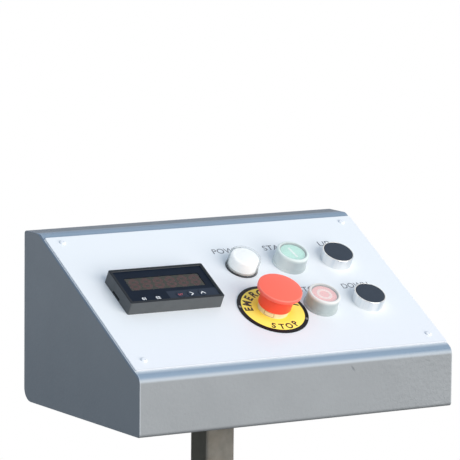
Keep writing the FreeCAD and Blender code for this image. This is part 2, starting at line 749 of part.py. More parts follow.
def make_meter():
    """The panel meter: bezel, case, window, display, boards, terminals, clips, light pipes and keys."""
    outer = block("bezel_outside", "meter_width", "meter_height", "meter_stand", "meter_corner")
    rounded(outer, "meter_edge", level_at("meter_stand"))
    on_meter(outer)
    recess = block("bezel_recess", "meter_width - 2 * meter_rim", "meter_height - 2 * meter_rim",
                   "face_recess + overcut")
    cavity = block("bezel_cavity", "meter_width - 2 * meter_wall", "meter_height - 2 * meter_wall",
                   f"{FACE_UNDER} + overcut")
    window = block("window_opening", "window_width", "window_height", "face_thickness + 2 * overcut")
    notch = block("bezel_notch", "meter_wall + 2 * overcut", "notch_length", "notch_height + overcut")
    tools = [
        on_meter(recess, "meter_rim", "meter_rim", FACE_TOP),
        on_meter(cavity, "meter_wall", "meter_wall", "(-overcut)"),
        on_meter(window, "window_left", "window_low", f"({FACE_UNDER} - overcut)"),
        on_meter(notch, "(-overcut)", "((meter_height - notch_length) / 2)", "(-overcut)"),
    ]
    for index in range(3):
        hole = cylinder(f"key_hole_{index}", "key_radius + key_gap", "face_thickness + 2 * overcut")
        tools.append(on_meter(hole, key_across(index), "key_low", f"({FACE_UNDER} - overcut)"))
    for index in range(2):
        hole = block(f"pipe_hole_{index}", "pipe_width", "pipe_height", "face_thickness + 2 * overcut")
        left = f"({pipe_across(index)} - pipe_width / 2)"
        tools.append(on_meter(hole, left, "(pipe_low - pipe_height / 2)", f"({FACE_UNDER} - overcut)"))
    node(cut("meter_bezel", outer, tools), "meter_bezel")

    case = block("case_outside", CASE_WIDTH, CASE_HEIGHT, "case_depth + case_front")
    hollow = block("case_inside", f"{CASE_WIDTH} - 2 * case_wall", f"{CASE_HEIGHT} - 2 * case_wall",
                   "case_depth + case_front - case_wall + overcut")
    inner = f"({CASE_SIDE} + case_wall)"
    on_meter(case, CASE_SIDE, CASE_SIDE, "(-case_depth)")
    on_meter(hollow, inner, inner, "(case_wall - case_depth)")
    node(cut("meter_case", case, [hollow]), "meter_case")

    window = block("window_pane", "window_width - 2 * window_gap", "window_height - 2 * window_gap",
                   "face_thickness")
    on_meter(window, "(window_left + window_gap)", "(window_low + window_gap)", FACE_UNDER)
    node(window, "meter_window")

    display = block("display_module", "window_width + 2 * display_lap", "window_height + 2 * display_lap",
                    "display_depth")
    on_meter(display, "(window_left - display_lap)", "(window_low - display_lap)", BOARD_TOP)
    node(display, "meter_display")

    side = f"({inner} + board_gap)"
    front = block("front_board", f"meter_width - 2 * {side}", f"meter_height - 2 * {side}",
                  "board_thickness")
    on_meter(front, side, side, f"({BOARD_TOP} - board_thickness)")
    main = block("main_board", f"meter_width - 2 * {side}", "board_thickness", "main_board_depth")
    on_meter(main, side, "(meter_height / 2)", f"({BOARD_TOP} - board_thickness - main_board_depth)")
    node(group("meter_boards", [front, main]), "meter_boards")

    rows = []
    for row in range(2):
        low = f"({CASE_SIDE} + {row} * ({CASE_HEIGHT} - terminal_width))"
        left = "((meter_width - terminal_length) / 2)"
        bottom = "(-case_depth - terminal_depth)"
        strip = block(f"terminal_strip_{row}", "terminal_length", "terminal_width", "terminal_depth")
        on_meter(strip, left, low, bottom)
        holes = []
        for index in range(round(number("terminal_count"))):
            hole = cylinder(f"terminal_hole_{row}_{index}", "terminal_hole", "terminal_depth / 2 + overcut")
            spread = f"(meter_width / 2 + ({index} - (terminal_count - 1) / 2) * terminal_pitch)"
            holes.append(on_meter(hole, spread, f"({low} + terminal_width / 2)", f"({bottom} - overcut)"))
        rows.append(cut(f"terminal_row_{row}", strip, holes))
    node(group("meter_terminals", rows), "meter_terminals")

    clips = []
    for index, left in enumerate([f"({CASE_SIDE} - clip_thickness)", f"(meter_width - {CASE_SIDE})"]):
        clip = block(f"clip_{index}", "clip_thickness", "clip_width", "clip_length")
        clips.append(on_meter(clip, left, "((meter_height - clip_width) / 2)",
                              "(-plate_thickness - clip_length)"))
    node(group("meter_clips", clips), "meter_clips")

    pipes = []
    for index in range(2):
        pipe = block(f"light_pipe_{index}", "pipe_width - 2 * window_gap", "pipe_height - 2 * window_gap",
                     f"{FACE_TOP} - {BOARD_TOP}")
        left = f"({pipe_across(index)} - pipe_width / 2 + window_gap)"
        pipes.append(on_meter(pipe, left, "(pipe_low - pipe_height / 2 + window_gap)", BOARD_TOP))
    node(group("meter_light_pipes", pipes), "meter_light_pipes")

    switches = []
    for index, name in enumerate(("set", "shift", "raise")):
        height = f"({KEY_UNDER} - key_travel - seat_gap - {BOARD_TOP})"
        switch = block(f"key_switch_{index}", "switch_width", "switch_width", height)
        left = f"({key_across(index)} - switch_width / 2)"
        switches.append(on_meter(switch, left, "(key_low - switch_width / 2)", BOARD_TOP))

        top = f"{FACE_TOP} + key_proud"
        key = turned(f"{name}_key_cap", [
            ("0", top),
            ("key_radius", top),
            ("key_radius", KEY_FLANGE_TOP),
            ("key_radius + key_flange", KEY_FLANGE_TOP),
            ("key_radius + key_flange", KEY_UNDER),
            ("0", KEY_UNDER),
        ])
        rounded(key, "key_edge", circle_at("key_radius", top))
        node(on_meter(key, key_across(index), "key_low"), f"meter_{name}_key")
    node(group("meter_switches", switches), "meter_switches")


def barrel_corners(inner_radius, top, seat, ring):
    """The half section of a ring with its barrel: the ring's bore, the barrel's bore, the pin's hole in
    the floor, then back up the outside."""
    return [
        (ring, seat),
        (ring, top),
        (inner_radius, top),
        (inner_radius, f"{seat} + ring_floor"),
        ("barrel_bore", f"{seat} + ring_floor"),
        ("barrel_bore", BARREL_FLOOR),
        ("pin_radius + running_gap", BARREL_FLOOR),
        ("pin_radius + running_gap", BARREL_BOTTOM),
        ("barrel_radius", BARREL_BOTTOM),
        ("barrel_radius", seat),
    ]


def stem_corners(under, ceiling, travel):
    """The half section of a hollow stem from its shoulder down: the spring's bore, the pin and the
    collar that stops it from coming out."""
    collar_top = f"({BARREL_BOTTOM} - seat_gap)"
    foot = f"{BARREL_FLOOR} + {travel} + stop_gap"
    return [
        (STEM_RADIUS, under),
        (STEM_RADIUS, foot),
        (SPRING_BORE, foot),
        (SPRING_BORE, ceiling),
        ("pin_radius", ceiling),
        ("pin_radius", collar_top),
        ("pin_radius + collar_width", collar_top),
        ("pin_radius + collar_width", f"{collar_top} - collar_height"),
        ("0", f"{collar_top} - collar_height"),
    ]


def make_spring(name, ceiling):
    """The return spring between the barrel's floor and the stem's ceiling, wound about the pin. Each
    half turn is half a ring, tilted so that the next one carries on smoothly from its end."""
    across, up = PANEL_PLACES[name]
    middle = f"((pin_radius + {SPRING_BORE}) / 2)"
    inset = "(spring_seat + spring_wire_radius)"
    halves = round(2 * number("spring_turns"))
    rise = f"(({ceiling} - {BARREL_FLOOR} - 2 * {inset}) / {halves})"
    tilt = f"atan({rise} / 2 / {middle})"
    wires = []
    for index in range(halves):
        wire = new("Part::Torus", f"{name}_spring_wire_{index}")
        bind(wire, Radius1=f"{middle} / cos({tilt})", Radius2="spring_wire_radius", Angle3="180")
        place(wire, axis=(0, 1, 0), angle=tilt)
        half = group(f"{name}_spring_half_{index}", [wire])
        height = f"{rise} * ({index} + 0.5)"
        wires.append(place(half, z=height, axis=(0, 0, 1), angle=str(180 * (index % 2))))
    spring = fuse(name + "_spring", wires)
    node(on_panel(spring, across, up, f"({BARREL_FLOOR} + {inset})"), name + "_spring")


def make_contact(name, travel):
    """The contact block behind a barrel, with room for the stem's pin and four terminal screws."""
    across, up = PANEL_PLACES[name]
    body = block(name + "_contact_body", "contact_width", "contact_length", "contact_depth",
                 "contact_corner")
    on_panel(body, f"({across} - contact_width / 2)", f"({up} - contact_length / 2)",
             f"({BARREL_BOTTOM} - contact_depth)")
    depth = f"(collar_height + {travel} + 2 * stop_gap)"
    well = cylinder(name + "_contact_well", "pin_radius + collar_width + stop_gap", f"{depth} + overcut")
    tools = [on_panel(well, across, up, f"({BARREL_BOTTOM} - {depth})")]
    for index, (x, y) in enumerate([(-1, -1), (1, -1), (-1, 1), (1, 1)]):
        hole = cylinder(f"{name}_contact_screw_{index}", "contact_screw_radius",
                        "contact_screw_depth + overcut")
        tools.append(on_panel(hole, f"({across} + {x} * contact_screw_across)",
                              f"({up} + {y} * contact_screw_up)",
                              f"({BARREL_BOTTOM} - contact_depth - overcut)"))
    node(cut(name + "_contact", body, tools), name + "_contact")


def make_ring_button(name):
    """UP or DOWN: a black cap in a bright ring."""
    across, up = PANEL_PLACES[name]
    top = "plate_thickness + ring_height"
    inner = "ring_cap_radius + cap_gap"
    ring = turned(name + "_ring", barrel_corners(inner, top, ON_GASKET, "ring_radius"))
    rounded(ring, "ring_edge", circle_at("ring_radius", top))
    node(on_panel(ring, across, up), name + "_bezel")

    cap_top = "(plate_thickness + ring_cap_height)"
    under = f"{ON_GASKET} + ring_floor + button_travel + stop_gap"
    ceiling = f"({cap_top} - ring_cap_wall)"
    cap = turned(name + "_button", [
        ("0", cap_top),
        ("ring_cap_radius", cap_top),
        ("ring_cap_radius", under),
    ] + stem_corners(under, ceiling, "button_travel"))
    rounded(cap, "ring_cap_edge", circle_at("ring_cap_radius", cap_top))
    node(on_panel(cap, across, up), name + "_cap")
    make_spring(name, ceiling)
    make_contact(name, "button_travel")


def make_booted_button(name):
    """START or STOP: a coloured cap in a low ring under a soft boot, whose lip the ring clamps."""
    across, up = PANEL_PLACES[name]
    seat = f"({ON_GASKET} + boot_lip)"
    top = "(plate_thickness + low_ring_height)"
    ring_radius = "(boot_radius - boot_wall - soft_gap)"
    inner = "booted_cap_radius + cap_gap"
    ring = turned(name + "_ring", barrel_corners(inner, top, seat, ring_radius))
    rounded(ring, "ring_edge", circle_at(ring_radius, top))
    node(on_panel(ring, across, up), name + "_bezel")

    cap_top = "(plate_thickness + booted_cap_height)"
    under = f"{seat} + ring_floor + button_travel + stop_gap"
    ceiling = f"({cap_top} - ring_cap_wall)"
    cap = turned(name + "_button", [
        ("0", cap_top),
        ("booted_cap_radius", cap_top),
        ("booted_cap_radius", under),
    ] + stem_corners(under, ceiling, "button_travel"))
    rounded(cap, "booted_cap_edge", circle_at("booted_cap_radius", cap_top))
    node(on_panel(cap, across, up), name + "_cap")

    skin_under = f"({cap_top} + soft_gap)"
    skin_top = f"({skin_under} + boot_skin)"
    boot_top = f"({skin_top} + boot_rim_rise)"
    hem_top = f"{ON_GASKET} + boot_hem_height"
    boot = turned(name + "_soft_boot", [
        ("0", skin_top),
        ("boot_radius - boot_rim", skin_top),
        ("boot_radius - boot_rim", boot_top),
        ("boot_radius", boot_top),
        ("boot_radius", hem_top),
        ("boot_hem_radius", hem_top),
        ("boot_hem_radius", ON_GASKET),
        ("barrel_radius + barrel_gap", ON_GASKET),
        ("barrel_radius + barrel_gap", seat),
        ("boot_radius - boot_wall", seat),
        ("boot_radius - boot_wall", skin_under),
        ("0", skin_under),
    ])
    rounded(boot, "boot_edge", circle_at("boot_radius", boot_top))
    node(on_panel(boot, across, up), name + "_boot")
    make_spring(name, ceiling)
    make_contact(name, "button_travel")


def make_lamp():
    """The pilot lamp: clear lens, white diffuser, threaded body and LED holder."""
    across, up = PANEL_PLACES["power"]
    top = "(plate_thickness + lens_height)"
    inner = "(lens_radius - lens_wall)"
    lens = turned("lamp_lens", [
        ("0", top),
        ("lens_radius", top),
        ("lens_radius", ON_GASKET),
        (inner, ON_GASKET),
        (inner, f"{top} - lens_wall"),
        ("0", f"{top} - lens_wall"),
    ])
    rounded(lens, "lens_edge", circle_at("lens_radius", top))
    rounded(lens, "lens_edge - lens_wall", circle_at(inner, f"{top} - lens_wall"))
    node(on_panel(lens, across, up), "power_lens")

    flange_top = f"({ON_GASKET} + lamp_flange_height)"
    skin = f"({inner} - diffuser_gap)"
    skin_top = f"({top} - lens_wall - diffuser_gap)"
    diffuser = turned("lamp_diffuser", [
        ("0", skin_top),
        (skin, skin_top),
        (skin, flange_top),
        (f"{skin} - diffuser_wall", flange_top),
        (f"{skin} - diffuser_wall", f"{skin_top} - diffuser_wall"),
        ("0", f"{skin_top} - diffuser_wall"),
    ])
    rounded(diffuser, "diffuser_edge", circle_at(skin, skin_top))
    node(on_panel(diffuser, across, up), "power_diffuser")

    body = turned("lamp_body", [
        (skin, ON_GASKET),
        (skin, flange_top),
        ("lamp_bore", flange_top),
        ("lamp_bore", BARREL_FLOOR),
        ("0", BARREL_FLOOR),
        ("0", BARREL_BOTTOM),
        ("barrel_radius", BARREL_BOTTOM),
        ("barrel_radius", ON_GASKET),
    ])
    node(on_panel(body, across, up), "power_body")

    led_top = f"({ON_GASKET} + led_height)"
    led = turned("lamp_led", [
        ("0", led_top),
        ("led_radius", led_top),
        ("led_radius", BARREL_FLOOR),
        ("0", BARREL_FLOOR),
    ])
    rounded(led, "diffuser_edge", circle_at("led_radius", led_top))
    node(on_panel(led, across, up), "power_led")


def make_emergency_stop():
    """The emergency stop: legend disc, bright ring with its barrel, stem, contact, and the mushroom head
    that turns on the stem's journal behind a snap lip."""
    across, up = PANEL_PLACES["estop"]
    on_disc = "(plate_thickness + disc_thickness)"
    disc = turned("legend_disc", [
        ("barrel_radius + barrel_gap", "plate_thickness"),
        (DISC_RADIUS, "plate_thickness"),
        (DISC_RADIUS, on_disc),
        ("barrel_radius + barrel_gap", on_disc),
    ])
    node(on_panel(disc, across, up), "estop_disc")

    ring_top = "(plate_thickness + stop_ring_height)"
    ring = turned("stop_ring", [
        ("stop_ring_radius", on_disc),
        ("stop_ring_radius", ring_top),
        ("barrel_bore", ring_top),
        ("barrel_bore", BARREL_FLOOR),
        ("pin_radius + running_gap", BARREL_FLOOR),
        ("pin_radius + running_gap", BARREL_BOTTOM),
        ("barrel_radius", BARREL_BOTTOM),
        ("barrel_radius", on_disc),
    ])
    rounded(ring, "ring_edge", circle_at("stop_ring_radius", ring_top))
    node(on_panel(ring, across, up), "estop_bezel")

    socket = "(plate_thickness + socket_height)"
    shoulder = f"({socket} - seat_gap)"
    journal_top = "(plate_thickness + journal_height)"
    lip_under = f"({journal_top} - journal_lip_height)"
    ceiling = f"({ring_top} - ring_cap_wall)"
    stem = turned("stop_stem", [
        ("0", journal_top),
        ("journal_radius + journal_lip", journal_top),
        ("journal_radius + journal_lip", lip_under),
        ("journal_radius", lip_under),
        ("journal_radius", shoulder),
    ] + stem_corners(shoulder, ceiling, "stop_travel"))
    node(on_panel(stem, across, up), "estop_stem")

    skirt_inner = "(skirt_radius - skirt_wall)"
    lip_bore = "journal_radius + journal_lip + running_gap"
    head = turned("stop_head", [
        ("0", "plate_thickness + crown_height"),
        ("rim_radius", "plate_thickness + rim_high"),
        ("rim_radius", "plate_thickness + rim_low"),
        ("skirt_radius", "plate_thickness + neck_height"),
        ("skirt_radius", "plate_thickness + skirt_foot"),
        (skirt_inner, "plate_thickness + skirt_foot"),
        (skirt_inner, socket),
        ("journal_radius + running_gap", socket),
        ("journal_radius + running_gap", f"{lip_under} - seat_gap"),
        (lip_bore, f"{lip_under} - seat_gap"),
        (lip_bore, f"{journal_top} + stop_gap"),
        ("0", f"{journal_top} + stop_gap"),
    ], domed=True)
    rounded(head, "brow_edge", circle_at("rim_radius", "plate_thickness + rim_high"))
    rounded(head, "rim_edge", circle_at("rim_radius", "plate_thickness + rim_low"))
    rounded(head, "neck_bend", circle_at("skirt_radius", "plate_thickness + neck_height"))
    node(on_panel(head, across, up), "estop_head")
    make_spring("estop", ceiling)
    make_contact("estop", "stop_travel")


def make_gaskets_and_locknuts():
    """A gasket in front of the plate for each control but the emergency stop, and a hexagonal locknut
    behind it for all six."""
    radii = {
        "power": "lens_gasket_radius",
        "start": "boot_gasket_radius",
        "stop": "boot_gasket_radius",
        "up": "ring_gasket_radius",
        "down": "ring_gasket_radius",
    }
    gaskets = []
    for name, radius in radii.items():
        gasket = turned(name + "_gasket", [
            ("barrel_radius + barrel_gap", "plate_thickness"),
            (radius, "plate_thickness"),
            (radius, ON_GASKET),
            ("barrel_radius + barrel_gap", ON_GASKET),
        ])
        gaskets.append(on_panel(gasket, *PANEL_PLACES[name]))
    node(group("control_gaskets", gaskets), "control_gaskets")

    locknuts = []
    for name, (across, up) in PANEL_PLACES.items():
        blank = prism(name + "_locknut_blank", "XY_Plane", hexagon("locknut_flats"), "locknut_height")
        on_panel(blank, across, up, "(-locknut_height)")
        bore = cylinder(name + "_locknut_bore", "barrel_radius + thread_clearance",
                        "locknut_height + 2 * overcut")
        on_panel(bore, across, up, "(-locknut_height - overcut)")
        locknuts.append(cut(name + "_locknut", blank, [bore]))
    node(group("control_locknuts", locknuts), "control_locknuts")


def check_model():
    """Stops if any object failed to build or any sub-part isn't sound."""
    for thing in doc.Objects:
        if "Invalid" in thing.State or "Error" in thing.State:
            raise RuntimeError(f"{thing.Name} failed: {thing.State}")
    for thing in nodes:
        if thing.Shape.isNull() or not thing.Shape.isValid() or not thing.Shape.Solids:
            raise RuntimeError(thing.Label + " has no sound shape")


def write_parts():
    os.makedirs("parts", exist_ok=True)
    for thing in nodes:
        thing.Shape.exportStep(f"parts/{thing.Label}.step")


fill_sheet()
make_shell()
make_plate()
make_gland()
make_pedestal()
make_meter()
make_lamp()
for button in ("start", "stop"):
    make_booted_button(button)
for button in ("up", "down"):
    make_ring_button(button)
make_emergency_stop()
make_gaskets_and_locknuts()
doc.recompute()
check_model()
write_parts()
print(len(nodes), "sub-parts written")
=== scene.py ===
"""Looks of an operator console on a floor pedestal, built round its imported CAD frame.

Lengths are written in millimetres and become metres when a mesh is made. A place on the sloped panel
is given as (across, up, out): along the slope's foot, up the slope, and square to it.
"""
import math

import bmesh
import bpy
import numpy as np
from mathutils import Matrix, Vector


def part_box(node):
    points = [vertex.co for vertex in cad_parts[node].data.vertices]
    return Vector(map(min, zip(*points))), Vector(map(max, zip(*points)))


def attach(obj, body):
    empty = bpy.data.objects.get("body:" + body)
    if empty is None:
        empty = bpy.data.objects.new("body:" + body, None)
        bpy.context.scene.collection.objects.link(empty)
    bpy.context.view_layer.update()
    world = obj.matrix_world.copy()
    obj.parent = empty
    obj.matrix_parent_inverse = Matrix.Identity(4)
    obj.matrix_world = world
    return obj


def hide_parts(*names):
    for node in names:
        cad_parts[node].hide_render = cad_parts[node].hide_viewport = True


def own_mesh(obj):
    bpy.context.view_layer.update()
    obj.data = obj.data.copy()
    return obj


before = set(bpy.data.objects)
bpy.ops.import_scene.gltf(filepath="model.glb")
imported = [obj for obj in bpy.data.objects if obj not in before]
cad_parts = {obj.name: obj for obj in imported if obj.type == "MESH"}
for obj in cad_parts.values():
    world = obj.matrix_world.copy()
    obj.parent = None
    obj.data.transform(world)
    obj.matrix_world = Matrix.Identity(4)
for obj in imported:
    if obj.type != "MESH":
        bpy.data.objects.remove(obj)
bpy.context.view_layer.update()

MM = 0.001
BODY = "console"
SHEET = 2.0
WRAP_LOW, WRAP_HIGH = (np.array(corner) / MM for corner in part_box("console_wrap"))
WIDTH, DEPTH, HEIGHT = WRAP_HIGH - WRAP_LOW
SLOPE = math.radians(30)
SLOPE_LENGTH = 206.0
SLOPE_END = SLOPE_LENGTH * math.cos(SLOPE)
FRONT_HEIGHT = HEIGHT - SLOPE_LENGTH * math.sin(SLOPE)
PANEL_CORNER = WRAP_LOW + (0, 0, FRONT_HEIGHT)
UP = np.array([0, math.cos(SLOPE), math.sin(SLOPE)])
OUT = np.array([0, -math.sin(SLOPE), math.cos(SLOPE)])
PANEL_AXES = np.array([[1, 0, 0], UP, OUT])
OPENING = (34.0, 176.0)
OPENING_SIDE = 22.0

PLATE = 1.5
ON_GASKET = PLATE + 0.8
SKIRT = PLATE + 0.05
ON_DISC = 2.48
PANEL_HOLE = 11.2
BARREL_BOTTOM = PLATE - 28.0
BARREL_FLOOR = BARREL_BOTTOM + 2.0
COLUMNS = [WIDTH * (0.5323 + 0.1554 * step) for step in range(3)]
PLACES = {
    name: (column, row)
    for row, names in ((135.5, ("power", "start", "up")), (73.5, ("estop", "stop", "down")))
    for column, name in zip(COLUMNS, names)
}
METER = (28.7, 83.6)
METER_SIZE = (96.0, 48.0)
FACE_UNDER = 9.6
FACE_TOP = 11.6
WINDOW_MIDDLE = (48.15, 27.2)
KEYS = {"set": 54.5, "shift": 65.85, "raise": 77.2}
KEY_ROW = 8.3
POST = (0.0, 43.0)
POST_SIDE = 30.0
BASE_TOP = 10.0
FLANGE_LOW = 919.0
FLANGE_HIGH = 925.0
GLAND = np.array([62.0, 104.2, 961.0])
DING = WRAP_LOW + (218.3, 0.0, 42.5)


# Places

def on_panel(points, across=0.0, up=0.0, out=0.0):
    """The frame's places of points (across, up, out) on the panel, moved by three distances."""
    return PANEL_CORNER + (np.asarray(points, float) + (across, up, out)) @ PANEL_AXES


def on_meter(points, out=PLATE):
    """Places given from the meter's lower left corner on the plate's face."""
    return on_panel(points, *METER, out)


def on_post(points, height=0.0):
    """Places given from the post's axis at a height above the floor."""
    return np.asarray(points, float) + (*POST, height)


def on_gland(points):
    """Places on the gland's axis: its own height becomes the distance out of the back wall."""
    x, y, z = np.asarray(points, float).T
    return GLAND + np.stack([-x, z, y], axis=1)


def put(shape, place, *where):
    """A shape whose points are placed by one of the functions above."""
    points, faces = shape
    return place(points, *where), faces


# Profiles and surfaces

def arcs(corners, closed=True, steps=5):
    """A polygon with rounded corners, as one array of points for each corner (x, y, radius). An arc
    touches both sides at radius / tan(half the corner's angle) and turns evenly between them."""
    corners = [tuple(corner) + (0.0,) * (3 - len(corner)) for corner in corners]
    parts = []
    for index, (x, y, radius) in enumerate(corners):
        here = np.array([x, y], float)
        if radius <= 0 or (not closed and index in (0, len(corners) - 1)):
            parts.append(here[None])
            continue
        before = np.array(corners[index - 1][:2], float) - here
        after = np.array(corners[(index + 1) % len(corners)][:2], float) - here
        before /= np.linalg.norm(before)
        after /= np.linalg.norm(after)
        half = math.acos(np.clip(before @ after, -1, 1)) / 2
        middle = (before + after) / np.linalg.norm(before + after)
        centre = here + middle * radius / math.sin(half)
        start = here + before * radius / math.tan(half) - centre
        end = here + after * radius / math.tan(half) - centre
        turn = math.pi - 2 * half
        share = np.linspace(0, 1, steps + 1)[:, None]
        arc = (np.sin((1 - share) * turn) * start + np.sin(share * turn) * end) / math.sin(turn)
        parts.append(centre + arc)
    return parts


def outline(corners, closed=True):
    """The points of a polygon with rounded corners, as one array."""
    return np.concatenate(arcs(corners, closed))


def grid_faces(rows, columns, closed=False):
    """The faces of a grid of points. Its rows are loops, and a closed grid's last row joins its first."""
    i, j = np.meshgrid(np.arange(rows if closed else rows - 1), np.arange(columns), indexing="ij")
    i, j = i.ravel(), j.ravel()
    below, beside = (i + 1) % rows, (j + 1) % columns
    return np.stack([i * columns + j, below * columns + j, below * columns + beside,
                     i * columns + beside], axis=1)


def ends(rows, columns):
    """The two flat faces that close a grid: its first row and its last."""
    last = (rows - 1) * columns
    return [list(range(columns)), list(range(last, last + columns))]


def pierced(faces, columns, outer, inner):
    """A closed grid's faces with a hole through its wall. The faces that start at the points outer and
    inner are left out, and four new ones join the edges round them."""
    faces = faces[~np.isin(faces[:, 0], [outer, inner])].tolist()
    edge = [outer, outer + 1, outer + columns + 1, outer + columns]
    under = [inner + columns, inner + columns + 1, inner + 1, inner]
    for k in range(4):
        beside = (k + 1) % 4
        faces.append([edge[k], edge[beside], under[beside], under[k]])
    return faces


def polar(radius, angle, height):
    """Points round the Z axis: x = r cos a, y = r sin a, z = h."""
    axes = np.broadcast_arrays(radius * np.cos(angle), radius * np.sin(angle), height)
    return np.stack(axes, axis=-1)


def even_angles(count):
    """Angles spread evenly round a turn."""
    return np.linspace(0, 2 * np.pi, count, endpoint=False)


def turned(profile, closed=False, segments=96):
    """A profile of (radius, height) points swept round the Z axis."""
    profile = np.asarray(profile, float)
    points = polar(profile[:, :1], even_angles(segments), profile[:, 1:])
    return points.reshape(-1, 3), grid_faces(len(profile), segments, closed).tolist()


def circle(radius, x=0.0, y=0.0, segments=64):
    """A flat circle: (x + r cos a, y + r sin a)."""
    return polar(radius, even_angles(segments), 0.0)[:, :2] + (x, y)


def rectangle(width, length, corner, steps=4):
    """A rounded rectangle about the origin: each corner's centre plus its radius times (cos a, sin a)."""
    corner = max(corner, 0.0)
    angle = np.concatenate([np.linspace(0, np.pi / 2, steps + 1) + k * np.pi / 2 for k in range(4)])
    signs = np.repeat([[1, 1], [-1, 1], [-1, -1], [1, -1]], steps + 1, axis=0)
    centres = signs * (width / 2 - corner, length / 2 - corner)
    return centres + corner * np.stack([np.cos(angle), np.sin(angle)], axis=1)


def box_loop(low, high, corner, steps=4):
    """A rounded rectangle between two corners."""
    low, high = np.asarray(low, float), np.asarray(high, float)
    return rectangle(*(high - low), corner, steps) + (low + high) / 2


def stacked(rings, heights):
    """Flat rings with as many points each, laid at their heights, as one list of points."""
    rings = np.asarray(rings, float)
    heights = np.broadcast_to(np.asarray(heights, float)[:, None, None], (*rings.shape[:2], 1))
    return np.concatenate([rings, heights], axis=2).reshape(-1, 3)


def framed(width, length, corner, profile, closed=False, steps=4):
    """A profile of (inset, height) points carried round a rounded rectangle, which is drawn in by the
    inset at each height. An open profile gets flat ends."""
    rings = [rectangle(width - 2 * inset, length - 2 * inset, corner - inset, steps)
             for inset, _ in profile]
    faces = grid_faces(len(rings), len(rings[0]), closed).tolist()
    if not closed:
        faces += ends(len(rings), len(rings[0]))
    return stacked(rings, [height for _, height in profile]), faces


def prism(points, low, high):
    """A flat outline given a thickness: the outline at both heights, joined by a band."""
    count = len(points)
    return stacked([points, points], [low, high]), grid_faces(2, count).tolist() + ends(2, count)


def hexagonal(flats, levels, segments=72, bore=None):
    """A hexagonal head turned down to a cone: at each level (height, radius) the distance from the axis
    is the smaller of the radius and the hexagon's, flats / 2 / cos(angle from the flat's middle)."""
    angle = even_angles(segments)
    flat = flats / 2 / np.cos((angle % (np.pi / 3)) - np.pi / 6)
    heights, limits = np.asarray(levels, float).T
    radius = np.minimum(flat, limits[:, None])
    if bore:
        radius = np.concatenate([radius, np.full((2, segments), bore)])
        heights = np.concatenate([heights, [heights[-1], heights[0]]])
    points = polar(radius, angle, heights[:, None])
    return points.reshape(-1, 3), grid_faces(len(heights), segments, bool(bore)).tolist()


def chamfered_levels(flats, low, high, both=False):
    """Levels of a hexagonal head whose corners are turned off at its top, and at its foot if both."""
    corner, flat = flats / math.sqrt(3), flats * 0.475
    drop = (corner - flat) * 0.55
    share = np.linspace(0, 1, 7)
    top = [(high - drop * (1 - s), corner + (flat - corner) * s) for s in share]
    foot = [(low + drop * s, flat + (corner - flat) * s) for s in share] if both else [(low, corner)]
    return [(foot[0][0], 0.0)] + foot + top + [(high, 0.0)]


def coil(radius, wire, low, high, turns, around=12, along=40):
    """A compression spring: a circle of the wire's radius carried along x = R cos a, y = R sin a. Its
    height eases in and out, so the end turns lie flat."""
    count = round(turns * along) + 1
    share = np.linspace(0, 1, count)
    angle = share * turns * 2 * np.pi
    flat = 0.75 / turns
    ease = np.clip((share - flat) / (1 - 2 * flat), 0, 1)
    lift = 2 * wire / (high - low)
    rise = low + (high - low) * (np.clip(share / flat, 0, 1) * lift * 0.5 + ease * (1 - lift)
                                 + np.clip((share - 1 + flat) / flat, 0, 1) * lift * 0.5)
    centre, outward = polar(radius, angle, rise), polar(1.0, angle, 0.0)
    ring = even_angles(around)[None, :, None]
    points = centre[:, None] + wire * np.cos(ring) * outward[:, None] + wire * np.sin(ring) * (0, 0, 1)
    return points.reshape(-1, 3), grid_faces(count, around).tolist() + ends(count, around)


def bead(path, first, second, size, closed=False):
    """A weld bead in the corner between two walls. Its section goes from size along one wall to size
    along the other by a shallow bulge, which swells and shrinks along the path like laid ripples."""
    path = np.asarray(path, float)
    pitch = 2.6
    first, second = (np.broadcast_to(np.asarray(way, float), path.shape) for way in (first, second))
    step = np.linalg.norm(np.diff(path, axis=0), axis=1)
    along = np.concatenate([[0], np.cumsum(step)])
    ripple = 1 + 0.10 * np.abs(np.sin(np.pi * along / pitch)) - 0.05
    turn = np.linspace(0, np.pi / 2, 7)
    bulge = 0.78 + 0.10 * np.sin(2 * turn)
    u, v = np.cos(turn) * bulge, np.sin(turn) * bulge
    u = np.concatenate([[1.0], u[1:-1], [-0.15], [-0.4], [-0.4]]) * size
    v = np.concatenate([[-0.15], v[1:-1], [1.0], [0.6], [-0.4]]) * size
    points = (path[:, None] + ripple[:, None, None] * (u[None, :, None] * first[:, None]
                                                     + v[None, :, None] * second[:, None]))
    faces = grid_faces(len(path), len(u), closed).tolist()
    if not closed:
        faces += ends(len(path), len(u))
    return points.reshape(-1, 3), faces


def joined(*shapes):
    """Several shapes as one list of points and faces."""
    points, faces, start = [], [], 0
    for some_points, some_faces in shapes:
        points.append(some_points)
        faces += [[index + start for index in face] for face in some_faces]
        start += len(some_points)
    return np.concatenate(points), faces


def moved(shape, x=0.0, y=0.0, z=0.0, turn=0.0):
    """A shape turned about the Z axis and then moved."""
    points, faces = shape
    cosine, sine = math.cos(turn), math.sin(turn)
    spin = np.array([[cosine, sine, 0], [-sine, cosine, 0], [0, 0, 1]])
    return points @ spin + (x, y, z), faces


def show(name, data):
    """A new object in the scene."""
    thing = bpy.data.objects.new(name, data)
    bpy.context.scene.collection.objects.link(thing)
    return thing


def drawn(curve):
    """The points and faces of a flat curve or a text, once it is a mesh."""
    thing = show("drawing", curve)
    bpy.context.view_layer.update()
    mesh = bpy.data.meshes.new_from_object(thing.evaluated_get(bpy.context.evaluated_depsgraph_get()))
    points = np.empty(len(mesh.vertices) * 3, np.float32)
    mesh.vertices.foreach_get("co", points)
    faces = [list(polygon.vertices) for polygon in mesh.polygons]
    bpy.data.objects.remove(thing)
    bpy.data.curves.remove(curve)
    bpy.data.meshes.remove(mesh)
    return points.reshape(-1, 3).astype(float), faces


